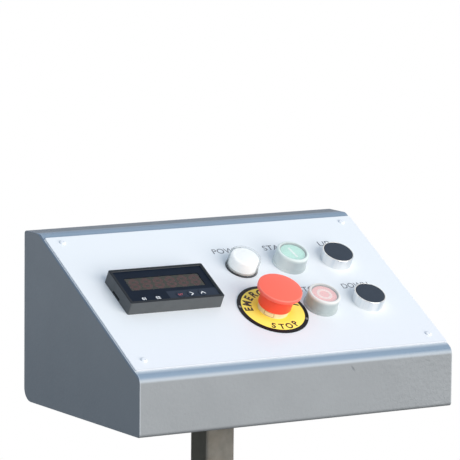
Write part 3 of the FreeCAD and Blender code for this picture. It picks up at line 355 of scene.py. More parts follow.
def rounded_sheet(loops, low, high, edge):
    """A flat sheet with holes whose edges are rounded: the sheet's curve is drawn in by the edge and
    bevelled out again."""
    curve = bpy.data.curves.new("rounded_sheet", "CURVE")
    curve.dimensions = "2D"
    curve.fill_mode = "BOTH"
    curve.extrude = (high - low) / 2 - edge
    curve.bevel_depth = edge
    curve.bevel_resolution = 2
    curve.offset = -edge
    for index, loop in enumerate(loops):
        spline = curve.splines.new("POLY")
        spline.points.add(len(loop) - 1)
        places = np.zeros((len(loop), 4), np.float32)
        places[:, :2] = loop if index == 0 else loop[::-1]
        places[:, 3] = 1
        spline.points.foreach_set("co", places.ravel())
        spline.use_cyclic_u = True
    return moved(drawn(curve), z=(low + high) / 2)


def lettering(text, height, thickness=0.05, align="LEFT", thin=0.0, narrow=1.0):
    """Plain sans letters of a capital height, lying on the XY plane with their baseline on X."""
    curve = bpy.data.curves.new("letters", "FONT")
    curve.body = text
    curve.size = height / 0.73
    curve.extrude = thickness / 2
    curve.offset = -thin / 2
    curve.resolution_u = 5
    curve.align_x = align
    points, faces = drawn(curve)
    return points * (narrow, 1, 1) + (0, 0, thickness / 2), faces


# Finishes

class Value:
    """A number that varies over a surface. Arithmetic on it adds Math nodes to its finish."""

    def __init__(self, finish, socket):
        self.finish = finish
        self.socket = socket

    def math(self, operation, *others):
        return self.finish.node("ShaderNodeMath", {"operation": operation}, [self, *others])

    def __add__(self, other):
        return self.math("ADD", other)

    def __sub__(self, other):
        return self.math("SUBTRACT", other)

    def __mul__(self, other):
        return self.math("MULTIPLY", other)

    def __rsub__(self, other):
        return self.finish.node("ShaderNodeMath", {"operation": "SUBTRACT"}, [other, self])

    __radd__ = __add__
    __rmul__ = __mul__

    def above(self, edge, soft=0.1):
        """0 below an edge and 1 above it, with a smooth step as wide as twice soft."""
        settings = {"interpolation_type": "SMOOTHSTEP"}
        return self.finish.node("ShaderNodeMapRange", settings, [self, edge - soft, edge + soft])

    def limited(self):
        """The number held between 0 and 1."""
        return self.math("MAXIMUM", 0.0).math("MINIMUM", 1.0)


class Finish:
    """A procedural material. Its places are Object coordinates in millimetres."""

    def __init__(self, name, base, roughness, specular=0.5, **constants):
        self.material = bpy.data.materials.new(name)
        self.material.use_nodes = True
        self.tree = self.material.node_tree
        self.shader = self.tree.nodes["Principled BSDF"]
        metres = self.node("ShaderNodeTexCoord", {}, {}, "Object")
        self.place = self.vector("SCALE", {0: metres, "Scale": 1 / MM})
        self.base = (*base, 1.0)
        self.shade({"Base Color": self.base, "Roughness": roughness, "Specular IOR Level": specular})
        self.shade({label.replace("_", " "): value for label, value in constants.items()})

    def node(self, kind, settings, values, output=0):
        """Adds a node: its settings first, then the values or links of its sockets."""
        made = self.tree.nodes.new(kind)
        for name, value in settings.items():
            setattr(made, name, value)
        for name, value in values.items() if isinstance(values, dict) else enumerate(values):
            self.feed(made.inputs[name], value)
        return Value(self, made.outputs[output])

    def vector(self, operation, values, output=0):
        return self.node("ShaderNodeVectorMath", {"operation": operation}, values, output)

    def feed(self, socket, value):
        if isinstance(value, Value):
            self.tree.links.new(value.socket, socket)
        else:
            socket.default_value = value

    def shade(self, sockets):
        for name, value in sockets.items():
            self.feed(self.shader.inputs[name], value)

    def noise(self, size, detail=2.0, stretch=(1.0, 1.0, 1.0)):
        """Noise about 0.5 whose spots are as large as size, drawn out along an axis by stretch."""
        place = self.vector("MULTIPLY", [self.place, tuple(1.0 / (size * way) for way in stretch)])
        return self.node("ShaderNodeTexNoise", {}, {"Vector": place, "Scale": 1.0, "Detail": detail})

    def along(self, way, start=(0.0, 0.0, 0.0)):
        """The distance from a start along a direction, as a dot product."""
        offset = self.vector("SUBTRACT", [self.place, tuple(start)])
        return self.vector("DOT_PRODUCT", [offset, tuple(way)], "Value")

    def from_axis(self, across, up):
        """The distance from a control's axis on the panel."""
        start = on_panel((across, up, 0))
        length = self.vector("DISTANCE", [self.place, tuple(start)], "Value")
        rise = self.along(OUT, start)
        return (length * length - rise * rise).math("MAXIMUM", 0.0).math("SQRT")

    def mix(self, share, first, second):
        """A colour between two, by a share."""
        first, second = (colour if isinstance(colour, Value) else (*colour[:3], 1.0)
                         for colour in (first, second))
        return self.node("ShaderNodeMix", {"data_type": "RGBA"}, {0: share, 6: first, 7: second}, 2)

    def layered(self, colour, *layers):
        """A colour with others laid over it, each by its share."""
        for share, tone in layers:
            colour = self.mix(share, colour, tone)
        return colour

    def relief(self, height):
        """Bumps of a height in millimetres."""
        bump = self.node("ShaderNodeBump", {}, {"Height": height, "Distance": MM, "Strength": 1.0})
        self.shade({"Normal": bump})

    def mottled(self, size, darker, lighter, detail=3.0, contrast=2.0):
        """Lets the base colour wander between two brightness factors in soft patches."""
        share = ((self.noise(size, detail) - 0.5) * contrast + 0.5).limited()
        low, high = (tuple(channel * factor for channel in self.base[:3]) for factor in (darker, lighter))
        colour = self.mix(share, low, high)
        self.shade({"Base Color": colour})
        return colour


def moulded(name, base, roughness, grain=0.5, size=0.35, specular=0.25):
    """Moulded plastic or rubber: a fine sparked grain and faint tone changes."""
    finish = Finish(name, base, roughness, specular)
    finish.mottled(8.0, 0.95, 1.05)
    finish.relief(finish.noise(size, 1.0) * (0.012 * grain) + finish.noise(size * 5) * (0.01 * grain))
    return finish


def metal(name, base, roughness, scratch):
    """Plated or bare metal: fine streaks in its gloss, faint stains and light scratches."""
    finish = Finish(name, base, roughness, Metallic=1.0)
    finish.mottled(6.0, 0.93, 1.04)
    streaks = finish.noise(0.3, 2.0, (8.0, 8.0, 1.0))
    finish.shade({"Roughness": streaks * 0.14 * scratch + (roughness - 0.07 * scratch)})
    finish.relief(streaks * (0.003 * scratch))
    return finish


def chrome():
    """Bright plating with soft upright streaks, as of things reflected in it, and a few fine scratches."""
    finish = metal("chrome_ring", (0.90, 0.91, 0.92), 0.12, 0.4)
    across, up = finish.along((1, 0, 0)), finish.along(UP)
    flat = finish.node("ShaderNodeCombineXYZ", {}, {"X": across * 0.16, "Y": up * 0.16, "Z": 0.0})
    streak = finish.node("ShaderNodeTexNoise", {}, {"Vector": flat, "Scale": 1.0, "Detail": 2.0})
    share = ((streak - 0.46) * 4.0).limited()
    finish.shade({"Base Color": finish.mix(share * 0.7, (0.79, 0.80, 0.805), (0.56, 0.635, 0.69))})
    return finish


def console_paint():
    """The console's blue-grey paint, with an orange peel that grows coarse at the front's right end and one
    small dent, which is darkened with painted shade. Light and shade are also painted elsewhere: painted
    sky light makes the slope bluer, painted shade darkens the top behind the bend, painted highlights run
    along the slope's foot bend and the sheet's side edges, a painted glow pales the sheet under and beside
    the plate, and painted shade darkens the cheeks' lower part and the front's foot."""
    finish = Finish("console_paint", (0.318, 0.341, 0.360), 0.5, 0.2)
    depth, run = finish.along(OUT, PANEL_CORNER), finish.along(UP, PANEL_CORNER)
    across, height = finish.along((1, 0, 0), WRAP_LOW), finish.along((0, 0, 1), WRAP_LOW)
    side = (across - WIDTH / 2).math("ABSOLUTE")
    cheek_face = side.above(WIDTH / 2 - 0.03, 0.02)
    wrap = 1.0 - cheek_face
    front = finish.along((0, -1, 0), WRAP_LOW + (0, SHEET, 0)).above(0.0, 0.5)
    top = height.above(HEIGHT - 0.5, 0.4)
    behind = finish.along((0, 1, 0), WRAP_LOW).above(SLOPE_END + 8.0, 3.0)
    slope = depth.above(-2.4, 0.9).math("MAXIMUM", top * (1.0 - behind))
    bend = 1.0 - (depth + 2.4).math("ABSOLUTE").above(1.0, 0.9)
    foot = (1.0 - run.above(30.0, 5.0)) * wrap
    corner_line = side.above(WIDTH / 2 - 0.9, 0.7) * wrap * (1.0 - top)
    beside_plate = run.above(9.5, 1.0) * (1.0 - run.above(SLOPE_LENGTH - 8.0, 1.0))
    speckle = ((finish.noise(2.6, 3.0) - 0.5) * 1.6 + 0.5).math("MAXIMUM", 0.0)
    stroke, width = finish.along((0.6, 0, -0.8), DING), finish.along((0.8, 0, 0.6), DING)
    dent = 1.0 - (stroke * stroke * 0.12 + width * width).math("SQRT").above(0.8, 0.8)
    colour = finish.layered(
        finish.mottled(38.0, 0.96, 1.04),
        (speckle * 0.18, (0.26076, 0.27962, 0.2952)),
        # painted sky light: the slope and the top's front edge are bluer
        (slope * 0.85, (0.25, 0.35, 0.47)),
        # painted shade: the top behind the bend is darker
        (top * behind * 0.9, (0.16, 0.195, 0.24)),
        # painted highlight along the bend at the slope's foot
        (bend * foot * 0.9, (0.49, 0.545, 0.60)),
        # painted glow: paler paint just under the plate's lower edge
        (run.above(7.2, 2.6) * foot * 0.5, (0.80, 0.85, 0.88)),
        # painted highlight on the rounded side edges of the sheet, weaker on the slope
        (corner_line * (0.42 - slope * 0.25), (0.72, 0.77, 0.81)),
        # painted highlight: the sheet's rounded edge beside the plate is nearly as pale as the plate
        (beside_plate * depth.above(-0.62, 0.1) * wrap * 0.95, (0.86, 0.90, 0.93)),
        # painted shade on the lower part of the cheeks
        (cheek_face * (1.0 - height.above(60.0, 70.0)) * 0.6, (0.235, 0.262, 0.287)),
        # painted shade along the foot of the front
        ((1.0 - height.above(2.3, 1.9)) * front * 0.7, (0.16, 0.175, 0.19)),
        # painted shade in the dent
        (dent * front * 0.3, (0.10, 0.12, 0.15)),
    )
    finish.shade({"Base Color": colour, "Roughness": finish.noise(12.0) * 0.12 + 0.44})
    rough_end = across.above(WIDTH - 60.0, 45.0) * front
    peel = finish.noise(3.2, 3.0) * (rough_end * 0.7 + 0.27 - cheek_face * 0.15)
    finish.relief(peel + finish.noise(1.0) * 0.02 - dent * 0.5)
    return finish


def post_paint():
    """The pedestal's brownish grey paint, blotched and a little rough, with painted shade on the
    tube's left face.
    """
    finish = Finish("post_paint", (0.245, 0.236, 0.211), 0.55, 0.12)
    stain = (finish.noise(30.0, 4.0) - 0.5).math("MAXIMUM", 0.0) * 1.6
    tube_left = (POST[0] - POST_SIDE / 2, 0, 0)
    left = 1.0 - finish.along((1, 0, 0), tube_left).math("ABSOLUTE").above(0.2, 0.1)
    tube = finish.along((0, 0, 1)).above(100.0, 10.0)
    colour = finish.layered(finish.mottled(9.0, 0.80, 1.18, 4.0, 1.8), (stain, (0.25, 0.20, 0.13)),
                            # painted shade on the tube's left face
                            (left * tube * 0.75, (0.085, 0.080, 0.055)))
    finish.shade({"Base Color": colour, "Roughness": finish.noise(7.0) * 0.15 + 0.48})
    finish.relief(finish.noise(2.4, 3.0) * 0.12 + finish.noise(0.8) * 0.03)
    return finish


def meter_shell():
    """The meter's frame: smooth and nearly black in front, with paler, grained side walls. The walls'
    paler grey is partly their own colour and partly a painted reflection of the white plate.
    """
    finish = Finish("meter_shell", (0.100, 0.109, 0.115), 0.5, 0.2)
    front = finish.along(OUT, PANEL_CORNER).above(PLATE + 12.45, 0.2)
    # the side walls' colour: partly their own grey, partly a painted reflection of the white plate
    walls = finish.mottled(8.0, 0.94, 1.06)
    finish.shade({"Base Color": finish.mix(front, walls, (0.010, 0.015, 0.022))})
    finish.relief(finish.noise(0.5, 1.0) * 0.02)
    return finish


def plate_white():
    """The panel plate: near white, a touch more lilac low down, with painted shade at its very foot, and a
    faint sheen."""
    finish = Finish("plate_white", (0.88, 0.92, 0.96), 0.4, 0.3)
    run = finish.along(UP, PANEL_CORNER)
    lilac = ((1.0 - run.above(45.0, 45.0)) * 0.6 + finish.noise(45.0, 3.0) * 0.5 - 0.1).limited()
    colour = finish.layered((0.87, 0.92, 0.96), (lilac, (0.88, 0.91, 0.97)),
                            # painted shade along the plate's lower edge
                            ((1.0 - run.above(10.6, 1.6)) * 0.35, (0.55, 0.58, 0.60)))
    finish.shade({"Base Color": colour, "Roughness": finish.noise(14.0) * 0.1 + 0.28})
    finish.relief(finish.noise(1.6) * 0.006)
    return finish


def legend_disc():
    """The emergency stop's disc: yellow with a black border, printed by distance from its axis, and a
    painted glow that is strongest on its lower half.
    """
    finish = Finish("legend_disc", (0.93, 0.60, 0.06), 0.45, 0.15)
    distance = finish.from_axis(*PLACES["estop"])
    border = distance.above(29.7, 0.15)
    yellow = finish.layered((0.97, 0.70, 0.07), (distance.above(19.0, 5.0), (0.98, 0.84, 0.15)),
                            (finish.noise(5.0, 3.0) * 0.08, (0.88, 0.62, 0.12)))
    # painted glow: the yellow glows, more on its lower half than its upper
    high = finish.along(UP, on_panel((*PLACES["estop"], 0))).above(-12.0, 12.0)
    painted_glow = finish.mix(high, (0.95, 0.95, 0.22), (0.35, 0.28, 0.05))
    finish.shade({"Base Color": finish.mix(border, yellow, (0.010, 0.010, 0.014)),
                  "Emission Color": finish.mix(border, painted_glow, (0.0, 0.0, 0.0)),
                  "Emission Strength": 0.16})
    finish.relief(finish.noise(0.8) * 0.006)
    return finish


def frosted(name, place, sides, rim_colour):
    """A frosted silicone boot. It is clear over the cap and pale and milky on the rim round it. Down its
    side its colour goes from its left colour over a middle to its right, which is painted light and
    shade, and outside the cap it has a faint painted glow."""
    finish = Finish(name, (0.62, 0.68, 0.69), 0.38, 0.25, Emission_Strength=0.07)
    edge = finish.from_axis(*place).above(12.7, 1.0)
    across = finish.along((1, 0, 0), on_panel((*place, 0)))
    rim = finish.along(OUT, PANEL_CORNER).above(14.6, 2.2)
    # painted light and shade down the side, from left over the middle to the right
    milk_and_painted_light = finish.layered(sides[0], (across.above(-9.0, 6.0), sides[1]),
                          (across.above(8.0, 7.0), sides[2]), (rim, rim_colour))
    colour = finish.mix(edge, (0.92, 0.95, 0.95), milk_and_painted_light)
    finish.shade({
        "Base Color": finish.mix(finish.noise(4.0) * 0.2, colour, (0.72, 0.76, 0.75)),
        # painted glow outside the cap
        "Emission Color": finish.mix(edge, (0.0, 0.0, 0.0), (0.86, 0.97, 1.0)),
        "Alpha": edge * 0.82 + 0.14,
        "Roughness": edge * 0.18 + 0.22,
    })
    finish.relief(finish.noise(0.9) * 0.008)
    return finish


def lens_skin():
    """The lamp's outer skin: clear enough to show the white diffuser, milkier where it is seen
    at a slant."""
    finish = Finish("lens_skin", (0.57, 0.625, 0.635), 0.16, 0.4)
    facing = finish.node("ShaderNodeLayerWeight", {}, {"Blend": 0.3}, "Facing")
    finish.shade({"Alpha": facing.above(0.6, 0.28) * 0.62 + facing * 0.32 + 0.05})
    finish.mottled(5.0, 0.97, 1.03)
    finish.relief(finish.noise(2.0) * 0.006)
    return finish


def diffuser_white():
    """The lamp's white diffuser, which glows a little, most at its top."""
    finish = Finish("diffuser_white", (0.93, 0.94, 0.93), 0.45, 0.2)
    finish.mottled(8.0, 0.97, 1.02)
    top = finish.along(OUT, PANEL_CORNER).above(11.0, 5.0)
    finish.shade({"Emission Color": finish.mix(top, (0.97, 1.0, 0.99), (1.0, 1.0, 1.0)),
                  "Emission Strength": 0.3})
    finish.relief(finish.noise(0.5, 1.0) * 0.006)
    return finish


def stop_red():
    """The mushroom's red, with a fine grain. Its head is paler than its neck and its crown paler still,
    as painted sheen; its brow has a painted highlight; and a faint red painted glow lifts its shaded side.
    """
    finish = Finish("estop_red", (0.94, 0.088, 0.052), 0.4, 0.25)
    height = finish.along(OUT, PANEL_CORNER)
    brow = finish.from_axis(*PLACES["estop"]).above(19.9, 0.4) * height.above(25.9, 0.35)
    # painted sheen on the head and crown, painted highlight on the brow
    colour = finish.layered(finish.mottled(9.0, 0.97, 1.03), (height.above(21.5, 1.0), (1.0, 0.155, 0.11)),
                            (height.above(26.6, 0.35), (0.98, 0.165, 0.115)),
                            (brow * 0.55, (1.0, 0.32, 0.26)))
    # painted glow that lifts the shaded side
    finish.shade({"Base Color": colour, "Emission Color": (1.0, 0.08, 0.04, 1.0), "Emission Strength": 0.14})
    finish.relief(finish.noise(0.4, 1.0) * 0.008 + finish.noise(3.0) * 0.01)
    return finish


def keyed_ring():
    """The collar under the mushroom: a pale plated ring. Dark lines at set distances from the middle of
    its key, across and out, outline the key's window."""
    finish = Finish("keyed_ring", (0.95, 0.86, 0.70), 0.3, Metallic=0.2)
    middle = math.radians(-137.0)
    start = on_panel((*PLACES["estop"], 5.0))
    forward = np.array([math.cos(middle), math.sin(middle), 0.0]) @ PANEL_AXES
    sideways = np.array([-math.sin(middle), math.cos(middle), 0.0]) @ PANEL_AXES
    aside = finish.along(sideways, start).math("ABSOLUTE") - 4.5
    rise = finish.along(OUT, start).math("ABSOLUTE") - 2.0
    from_line = aside.math("MAXIMUM", rise).math("ABSOLUTE")
    line = (1.0 - from_line.above(0.3, 0.2)) * finish.along(forward, start).above(9.0)
    clouds = finish.mottled(5.0, 0.85, 1.05)
    finish.shade({"Base Color": finish.mix(line * 0.7, clouds, (0.42, 0.33, 0.16))})
    finish.relief(finish.noise(0.5, 1.0) * 0.006 - line * 0.15)
    return finish


def meter_face():
    """The meter's dark face. Round the keys, on its right, it is a paler membrane."""
    finish = Finish("meter_face", (0.006, 0.013, 0.027), 0.35, 0.05)
    start = on_meter((0, 0, 0))
    membrane = (finish.along((1, 0, 0), start).above(42.5, 0.5)
                * (1.0 - finish.along(UP, start).above(14.0, 0.6)))
    clouds = finish.mottled(14.0, 0.85, 1.15)
    finish.shade({"Base Color": finish.mix(membrane, clouds, (0.031, 0.043, 0.066))})
    finish.relief(finish.noise(0.5, 1.0) * 0.006)
    return finish


def smoked_window():
    """Smoked acrylic over the digits."""
    finish = Finish("smoked_window", (0.020, 0.018, 0.018), 0.15, 0.15, Alpha=0.26)
    finish.mottled(12.0, 0.9, 1.1)
    finish.relief(finish.noise(9.0, 1.0) * 0.01)
    return finish


FINISHES = {
    "console": console_paint(),
    "plate": plate_white(),
    "disc": legend_disc(),
    "lens": lens_skin(),
    "window": smoked_window(),
    # the start boot's pale left side is painted light; the stop boot's dark left side is painted shade
    "start boot": frosted("start_boot", PLACES["start"],
                          [(0.62, 0.70, 0.70), (0.325, 0.395, 0.425), (0.46, 0.52, 0.525)],
                          (0.74, 0.84, 0.825)),
    "stop boot": frosted("stop_boot", PLACES["stop"],
                         [(0.28, 0.32, 0.32), (0.37, 0.435, 0.445), (0.50, 0.555, 0.55)],
                         (0.83, 0.825, 0.80)),
    "screw": moulded("screw_paint", (0.86, 0.90, 0.95), 0.4),
    "post": post_paint(),
    "meter shell": meter_shell(),
    "meter face": meter_face(),
    "case": moulded("case_black", (0.030, 0.031, 0.033), 0.5, 1.5, 0.5),
    "display": moulded("display_base", (0.160, 0.172, 0.148), 0.4, 0.3),
    "digit": moulded("digit_ghost", (0.285, 0.170, 0.170), 0.4, 0.3),
    "light pipe": moulded("light_pipe", (0.007, 0.013, 0.025), 0.35, 0.3, specular=0.05),
    "board": moulded("board_green", (0.015, 0.085, 0.035), 0.35, 0.6),
    "terminal": moulded("terminal_green", (0.02, 0.22, 0.07), 0.45),
    "key": moulded("key_rubber", (0.031, 0.043, 0.066), 0.5, 1.0, 0.4, 0.06),
    "key white": moulded("key_white", (0.84, 0.87, 0.90), 0.5),
    "key red": moulded("key_red", (0.64, 0.135, 0.16), 0.5),
    "ink": moulded("legend_ink", (0.13, 0.145, 0.17), 0.5),
    "dark ink": moulded("dark_ink", (0.050, 0.032, 0.022), 0.5),
    "pale mark": moulded("pale_mark", (0.20, 0.20, 0.21), 0.5),
    "diffuser": diffuser_white(),
    "lamp body": moulded("lamp_body", (0.80, 0.79, 0.74), 0.4),
    "led": moulded("led_holder", (0.55, 0.57, 0.58), 0.3),
    "chrome": chrome(),
    "keyed ring": keyed_ring(),
    "green": moulded("cap_green", (0.56, 0.90, 0.79), 0.4),
    "pink": moulded("cap_pink", (1.0, 0.555, 0.55), 0.4),
    "mark": moulded("mark_white", (0.90, 0.97, 0.94), 0.4),
    "stop mark": moulded("mark_cream", (1.0, 0.80, 0.76), 0.4),
    "black": moulded("cap_black", (0.046, 0.060, 0.082), 0.62, 2.0, 0.6, 0.1),
    "rubber": moulded("black_rubber", (0.030, 0.034, 0.038), 0.65, 2.0, 0.7),
    "nylon": moulded("black_nylon", (0.028, 0.029, 0.031), 0.45, 1.0),
    "gland": moulded("gland_grey", (0.24, 0.25, 0.26), 0.45, 1.0),
    "contact": moulded("contact_grey", (0.36, 0.38, 0.39), 0.5, 1.0),
    "spring": metal("spring_wire", (0.62, 0.61, 0.58), 0.25, 0.6),
    "zinc": metal("zinc_plate", (0.66, 0.67, 0.66), 0.32, 1.0),
    "red": stop_red(),
    "stem": moulded("estop_stem", (0.42, 0.42, 0.41), 0.5),
}


# Pieces

def mesh_of(name, shape, finish):
    """A mesh in metres with one material."""
    points, faces = shape
    mesh = bpy.data.meshes.new(name)
    mesh.from_pydata((np.asarray(points) * MM).tolist(), [], faces)
    mesh.materials.append(finish.material)
    return mesh


def piece(name, shape, finish, slot, body=BODY, replaces=(), sharp=35.0, bevel=0.0, even=False):
    """A mesh with its place in its points. Doubles are merged, faces turned outwards, edges sharper
    than an angle kept sharp, and the piece rides on its body."""
    mesh = mesh_of(name, shape, FINISHES[finish])
    build = bmesh.new()
    build.from_mesh(mesh)
    bmesh.ops.remove_doubles(build, verts=build.verts, dist=0.0005 * MM)
    bmesh.ops.dissolve_degenerate(build, dist=0.0002 * MM, edges=build.edges)
    bmesh.ops.recalc_face_normals(build, faces=build.faces)
    build.to_mesh(mesh)
    build.free()
    mesh.polygons.foreach_set("use_smooth", np.ones(len(mesh.polygons), bool))
    mesh.set_sharp_from_angle(angle=math.radians(sharp))
    thing = show(name, mesh)
    if bevel:
        edge = thing.modifiers.new("edge", "BEVEL")
        edge.width = bevel * MM
        edge.segments = 3
        edge.limit_method = "ANGLE"
        edge.angle_limit = math.radians(40)
        edge.use_clamp_overlap = True
    if even or bevel:
        weight = thing.modifiers.new("even", "WEIGHTED_NORMAL")
        weight.keep_sharp = True
    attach(thing, body)
    if replaces:
        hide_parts(*replaces)
    return thing


# The console's folded sheet

def console_corners(inset):
    """The side outline drawn in by a wall, as (y, z, radius): front foot, back foot, back top, slope
    top and slope foot."""
    return [
        (inset, inset, 3.0 - inset),
        (DEPTH - inset, inset, 12.0 - inset),
        (DEPTH - inset, HEIGHT - inset, 3.0 - inset),
        (SLOPE_END + inset * math.tan(SLOPE / 2), HEIGHT - inset, 8.0 - inset),
        (inset, FRONT_HEIGHT - inset * math.tan(math.pi / 4 - SLOPE / 2), 9.0 - inset),
    ]


def side_outline(inset):
    """The side outline's points, with the two ends of the slope's opening put in on the slope."""
    parts = arcs(console_corners(inset), steps=8)
    foot = np.array([0, FRONT_HEIGHT]) + inset * np.array([math.sin(SLOPE), -math.cos(SLOPE)])
    opening = [foot + distance * UP[1:] for distance in OPENING[::-1]]
    return np.concatenate(parts[:4] + [np.array(opening)] + parts[4:])


def folded_wrap():
    """The bent sheet: its side outline at each of a loop of stations (x, inset), which goes along the
    outside, round both end edges and back along the inside, with the slope's opening left out."""
    left, right = OPENING_SIDE, WIDTH - OPENING_SIDE
    edge = 0.6
    start = [(edge - edge * math.sin(a), edge - edge * math.cos(a)) for a in np.linspace(np.pi / 2, 0, 5)]
    stop = [(WIDTH - x, inset) for x, inset in start[::-1]]
    stations = np.array(start + [(left, 0), (right, 0)] + stop
                        + [(WIDTH, SHEET), (right, SHEET), (left, SHEET), (0, SHEET)])
    sides = [side_outline(inset) for inset in stations[:, 1]]
    count = len(sides[0])
    points = np.empty((len(stations), count, 3))
    points[..., 0] = stations[:, :1]
    points[..., 1:] = sides
    high = sum(len(part) for part in arcs(console_corners(0), steps=8)[:4])
    outer = len(start) * count + high
    inner = (len(start) + 2 + len(stop) + 1) * count + high
    faces = pierced(grid_faces(len(stations), count, True), count, outer, inner)
    return points.reshape(-1, 3) + WRAP_LOW, faces


def cheek(low, high):
    """A side sheet: the side outline at the wrap's inside, between two distances across."""
    points, faces = prism(side_outline(SHEET), low, high)
    return points[:, [2, 0, 1]] + WRAP_LOW, faces


piece("console_shell", folded_wrap(), "console", "console_paint", replaces=["console_wrap"], even=True)
for side, low, high in (("left", 0.0, SHEET), ("right", WIDTH - SHEET, WIDTH)):
    piece(f"{side}_side", cheek(low, high), "console", "console_paint",
          replaces=[f"{side}_cheek"], even=True)

SCREWS = [(across, up) for up in (21.8, SLOPE_LENGTH - 16.4) for across in (14.3, WIDTH - 14.3)]
meter_hole = box_loop(np.add(METER, 2.05), np.add(METER, METER_SIZE) - 2.05, 0.6)
plate_loops = [box_loop((0.5, 9.5), (WIDTH - 0.5, SLOPE_LENGTH - 7.2), 2.0, 6), meter_hole]
plate_loops += [circle(PANEL_HOLE, *place) for place in PLACES.values()]
plate_loops += [circle(1.75, *place, 24) for place in SCREWS]
piece("white_plate", put(rounded_sheet(plate_loops, 0.0, PLATE, 0.55), on_panel), "plate",
      "panel_white", replaces=["panel_plate"], even=True)


def screw():
    """A domed cross-recess screw: on a polar grid the head's height is a dome, less a recess where the
    point is near one of two crossed lines, then the profile goes on down the shank."""
    radii = np.concatenate([np.linspace(0, 1.7, 15), [2.05, 2.35, 2.6, 2.74, 2.8]])[:, None]
    angle = even_angles(72)
    head = polar(radii, angle, PLATE + 0.7 + 1.1 * np.sqrt(np.clip(1 - (radii / 2.8) ** 2.6, 0, 1)))
    near = np.abs(head[..., :2]).min(axis=-1)
    head[..., 2] -= 0.5 * np.clip((0.34 - near) / 0.14, 0, 1) * np.clip((1.5 - radii) / 0.25, 0, 1)
    shank = np.array([(2.8, PLATE), (1.5, PLATE), (1.5, -7.0), (1.1, -7.5), (0, -7.5)])
    rows = np.concatenate([head, polar(shank[:, :1], angle, shank[:, 1:])])
    return rows.reshape(-1, 3), grid_faces(len(rows), len(angle)).tolist()


screws = joined(*(moved(screw(), *place, turn=0.35 + index * 0.9) for index, place in enumerate(SCREWS)))
piece("plate_screws", put(screws, on_panel), "screw", "screw_steel", replaces=["panel_screws"], sharp=50)


# The panel meter

def meter_rim():
    """The meter's frame: a wall section (inset, height) carried round a rounded rectangle, with a slot
    for a screwdriver left out of the left wall near its foot."""
    width, length = METER_SIZE
    top = outline([(0, 0), (0, 12.8, 0.7), (2.6, 12.8, 0.25), (2.6, 11.3), (2.3, 11.3), (2.3, 0)])
    floor, roof, before = 0.7, 3.2, 10
    section = np.array([(0, 0), (0, floor), (0, roof), *top[1:-1], (2.3, roof), (2.3, floor), (2.3, 0)])
    rings = []
    for inset in section[:, 0]:
        ring = rectangle(width - 2 * inset, length - 2 * inset, 1.6 - inset)
        half = width / 2 - inset
        rings.append(np.concatenate([ring[:before], [(-half, 7.2), (-half, -6.0)], ring[before:]]))
    rows, count = len(section), len(rings[0])
    faces = pierced(grid_faces(rows, count, True), count, count + before, (rows - 3) * count + before)
    return stacked(rings, section[:, 1]) + (width / 2, length / 2, 0), faces


def digit_segments(corner, width, height, bar, slant):
    """The seven bars of an unlit digit: hexagonal bars whose corners lean by slant with their height."""
    half, gap = bar / 2, 0.28
    sides = [half, width - half]
    levels = [half, height / 2, height - half]
    spans = [(*sides, level, 1) for level in levels]
    spans += [(start, stop, side, -1) for side in sides for start, stop in zip(levels, levels[1:])]
    shapes = []
    for start, stop, at, order in spans:
        low, high = start + gap, stop - gap
        loop = np.array([(low, at), (low + half, at + half), (high - half, at + half),
                         (high, at), (high - half, at - half), (low + half, at - half)])[:, ::order]
        loop[:, 0] += loop[:, 1] * slant
        shapes.append(prism(loop + corner, 0.0, 0.05))
    return joined(*shapes)


def meter_piece(name, shape, finish, slot, out=PLATE, **more):
    """A piece given from the meter's lower left corner."""
    piece(name, put(shape, on_meter, out), finish, slot, **more)


meter_piece("meter_rim", meter_rim(), "meter shell", "black_nylon", replaces=["meter_bezel"], even=True)
face_loops = [box_loop((2.35, 2.35), (93.65, 45.65), 0.5), box_loop((10.4, 18.5), (85.9, 35.9), 0.4)]
face_loops += [circle(4.4, across, KEY_ROW, 48) for across in KEYS.values()]
face_loops += [box_loop((x - 2.5, 10.05), (x + 2.5, 11.95), 0.3) for x in (15.8, 30.5)]
meter_piece("meter_face", rounded_sheet(face_loops, FACE_UNDER, FACE_TOP, 0.15), "meter face",
            "black_nylon", even=True)
pane = moved(framed(75.3, 17.2, 0.4, [(0, 0), (0, 0.3), (0.08, 0.38)]), *WINDOW_MIDDLE, 11.17)
meter_piece("meter_pane", pane, "window", "smoked_window", replaces=["meter_window"])
bed = moved(framed(75.1, 17.0, 0.4, [(0, 0), (0, 1.45)]), *WINDOW_MIDDLE, 9.62)
meter_piece("digit_bed", bed, "display", "display_red")
digits = [digit_segments((11.0 + 12.35 * k, 19.5), 10.4, 15.3, 3.3, 0.14) for k in range(6)]
meter_piece("meter_digits", joined(*digits), "digit", "display_red", PLATE + 11.06)
marks = [moved(lettering(word, 3.3, 0.05, "CENTER", -0.3), x, 4.9)
         for word, x in (("01", 16.9), ("02", 31.0))]
meter_piece("lamp_marks", joined(*marks), "key white", "key_grey", PLATE + FACE_TOP - 0.02)

KEY_PROFILE = [(0, 12.0), (2.4, 12.02), (4.25, 12.1, 0.6), (4.25, 9.55), (5.0, 9.55, 0.2), (5.0, 8.75),
               (0, 8.75)]


def chevron(turn=0.0, size=2.3, bar=0.75):
    """An arrow head of two bars that points to the right, or up after a quarter turn."""
    middle = np.array([(-size / 2, size), (size / 2, 0), (-size / 2, -size)])
    inside = middle - [(bar, 0), (bar * 0.4, 0), (bar, 0)]
    outside = middle + [(bar, 0), (bar * 1.2, 0), (bar, 0)]
    return moved(prism(np.concatenate([inside, outside[::-1]]), 0.0, 0.06), turn=turn)


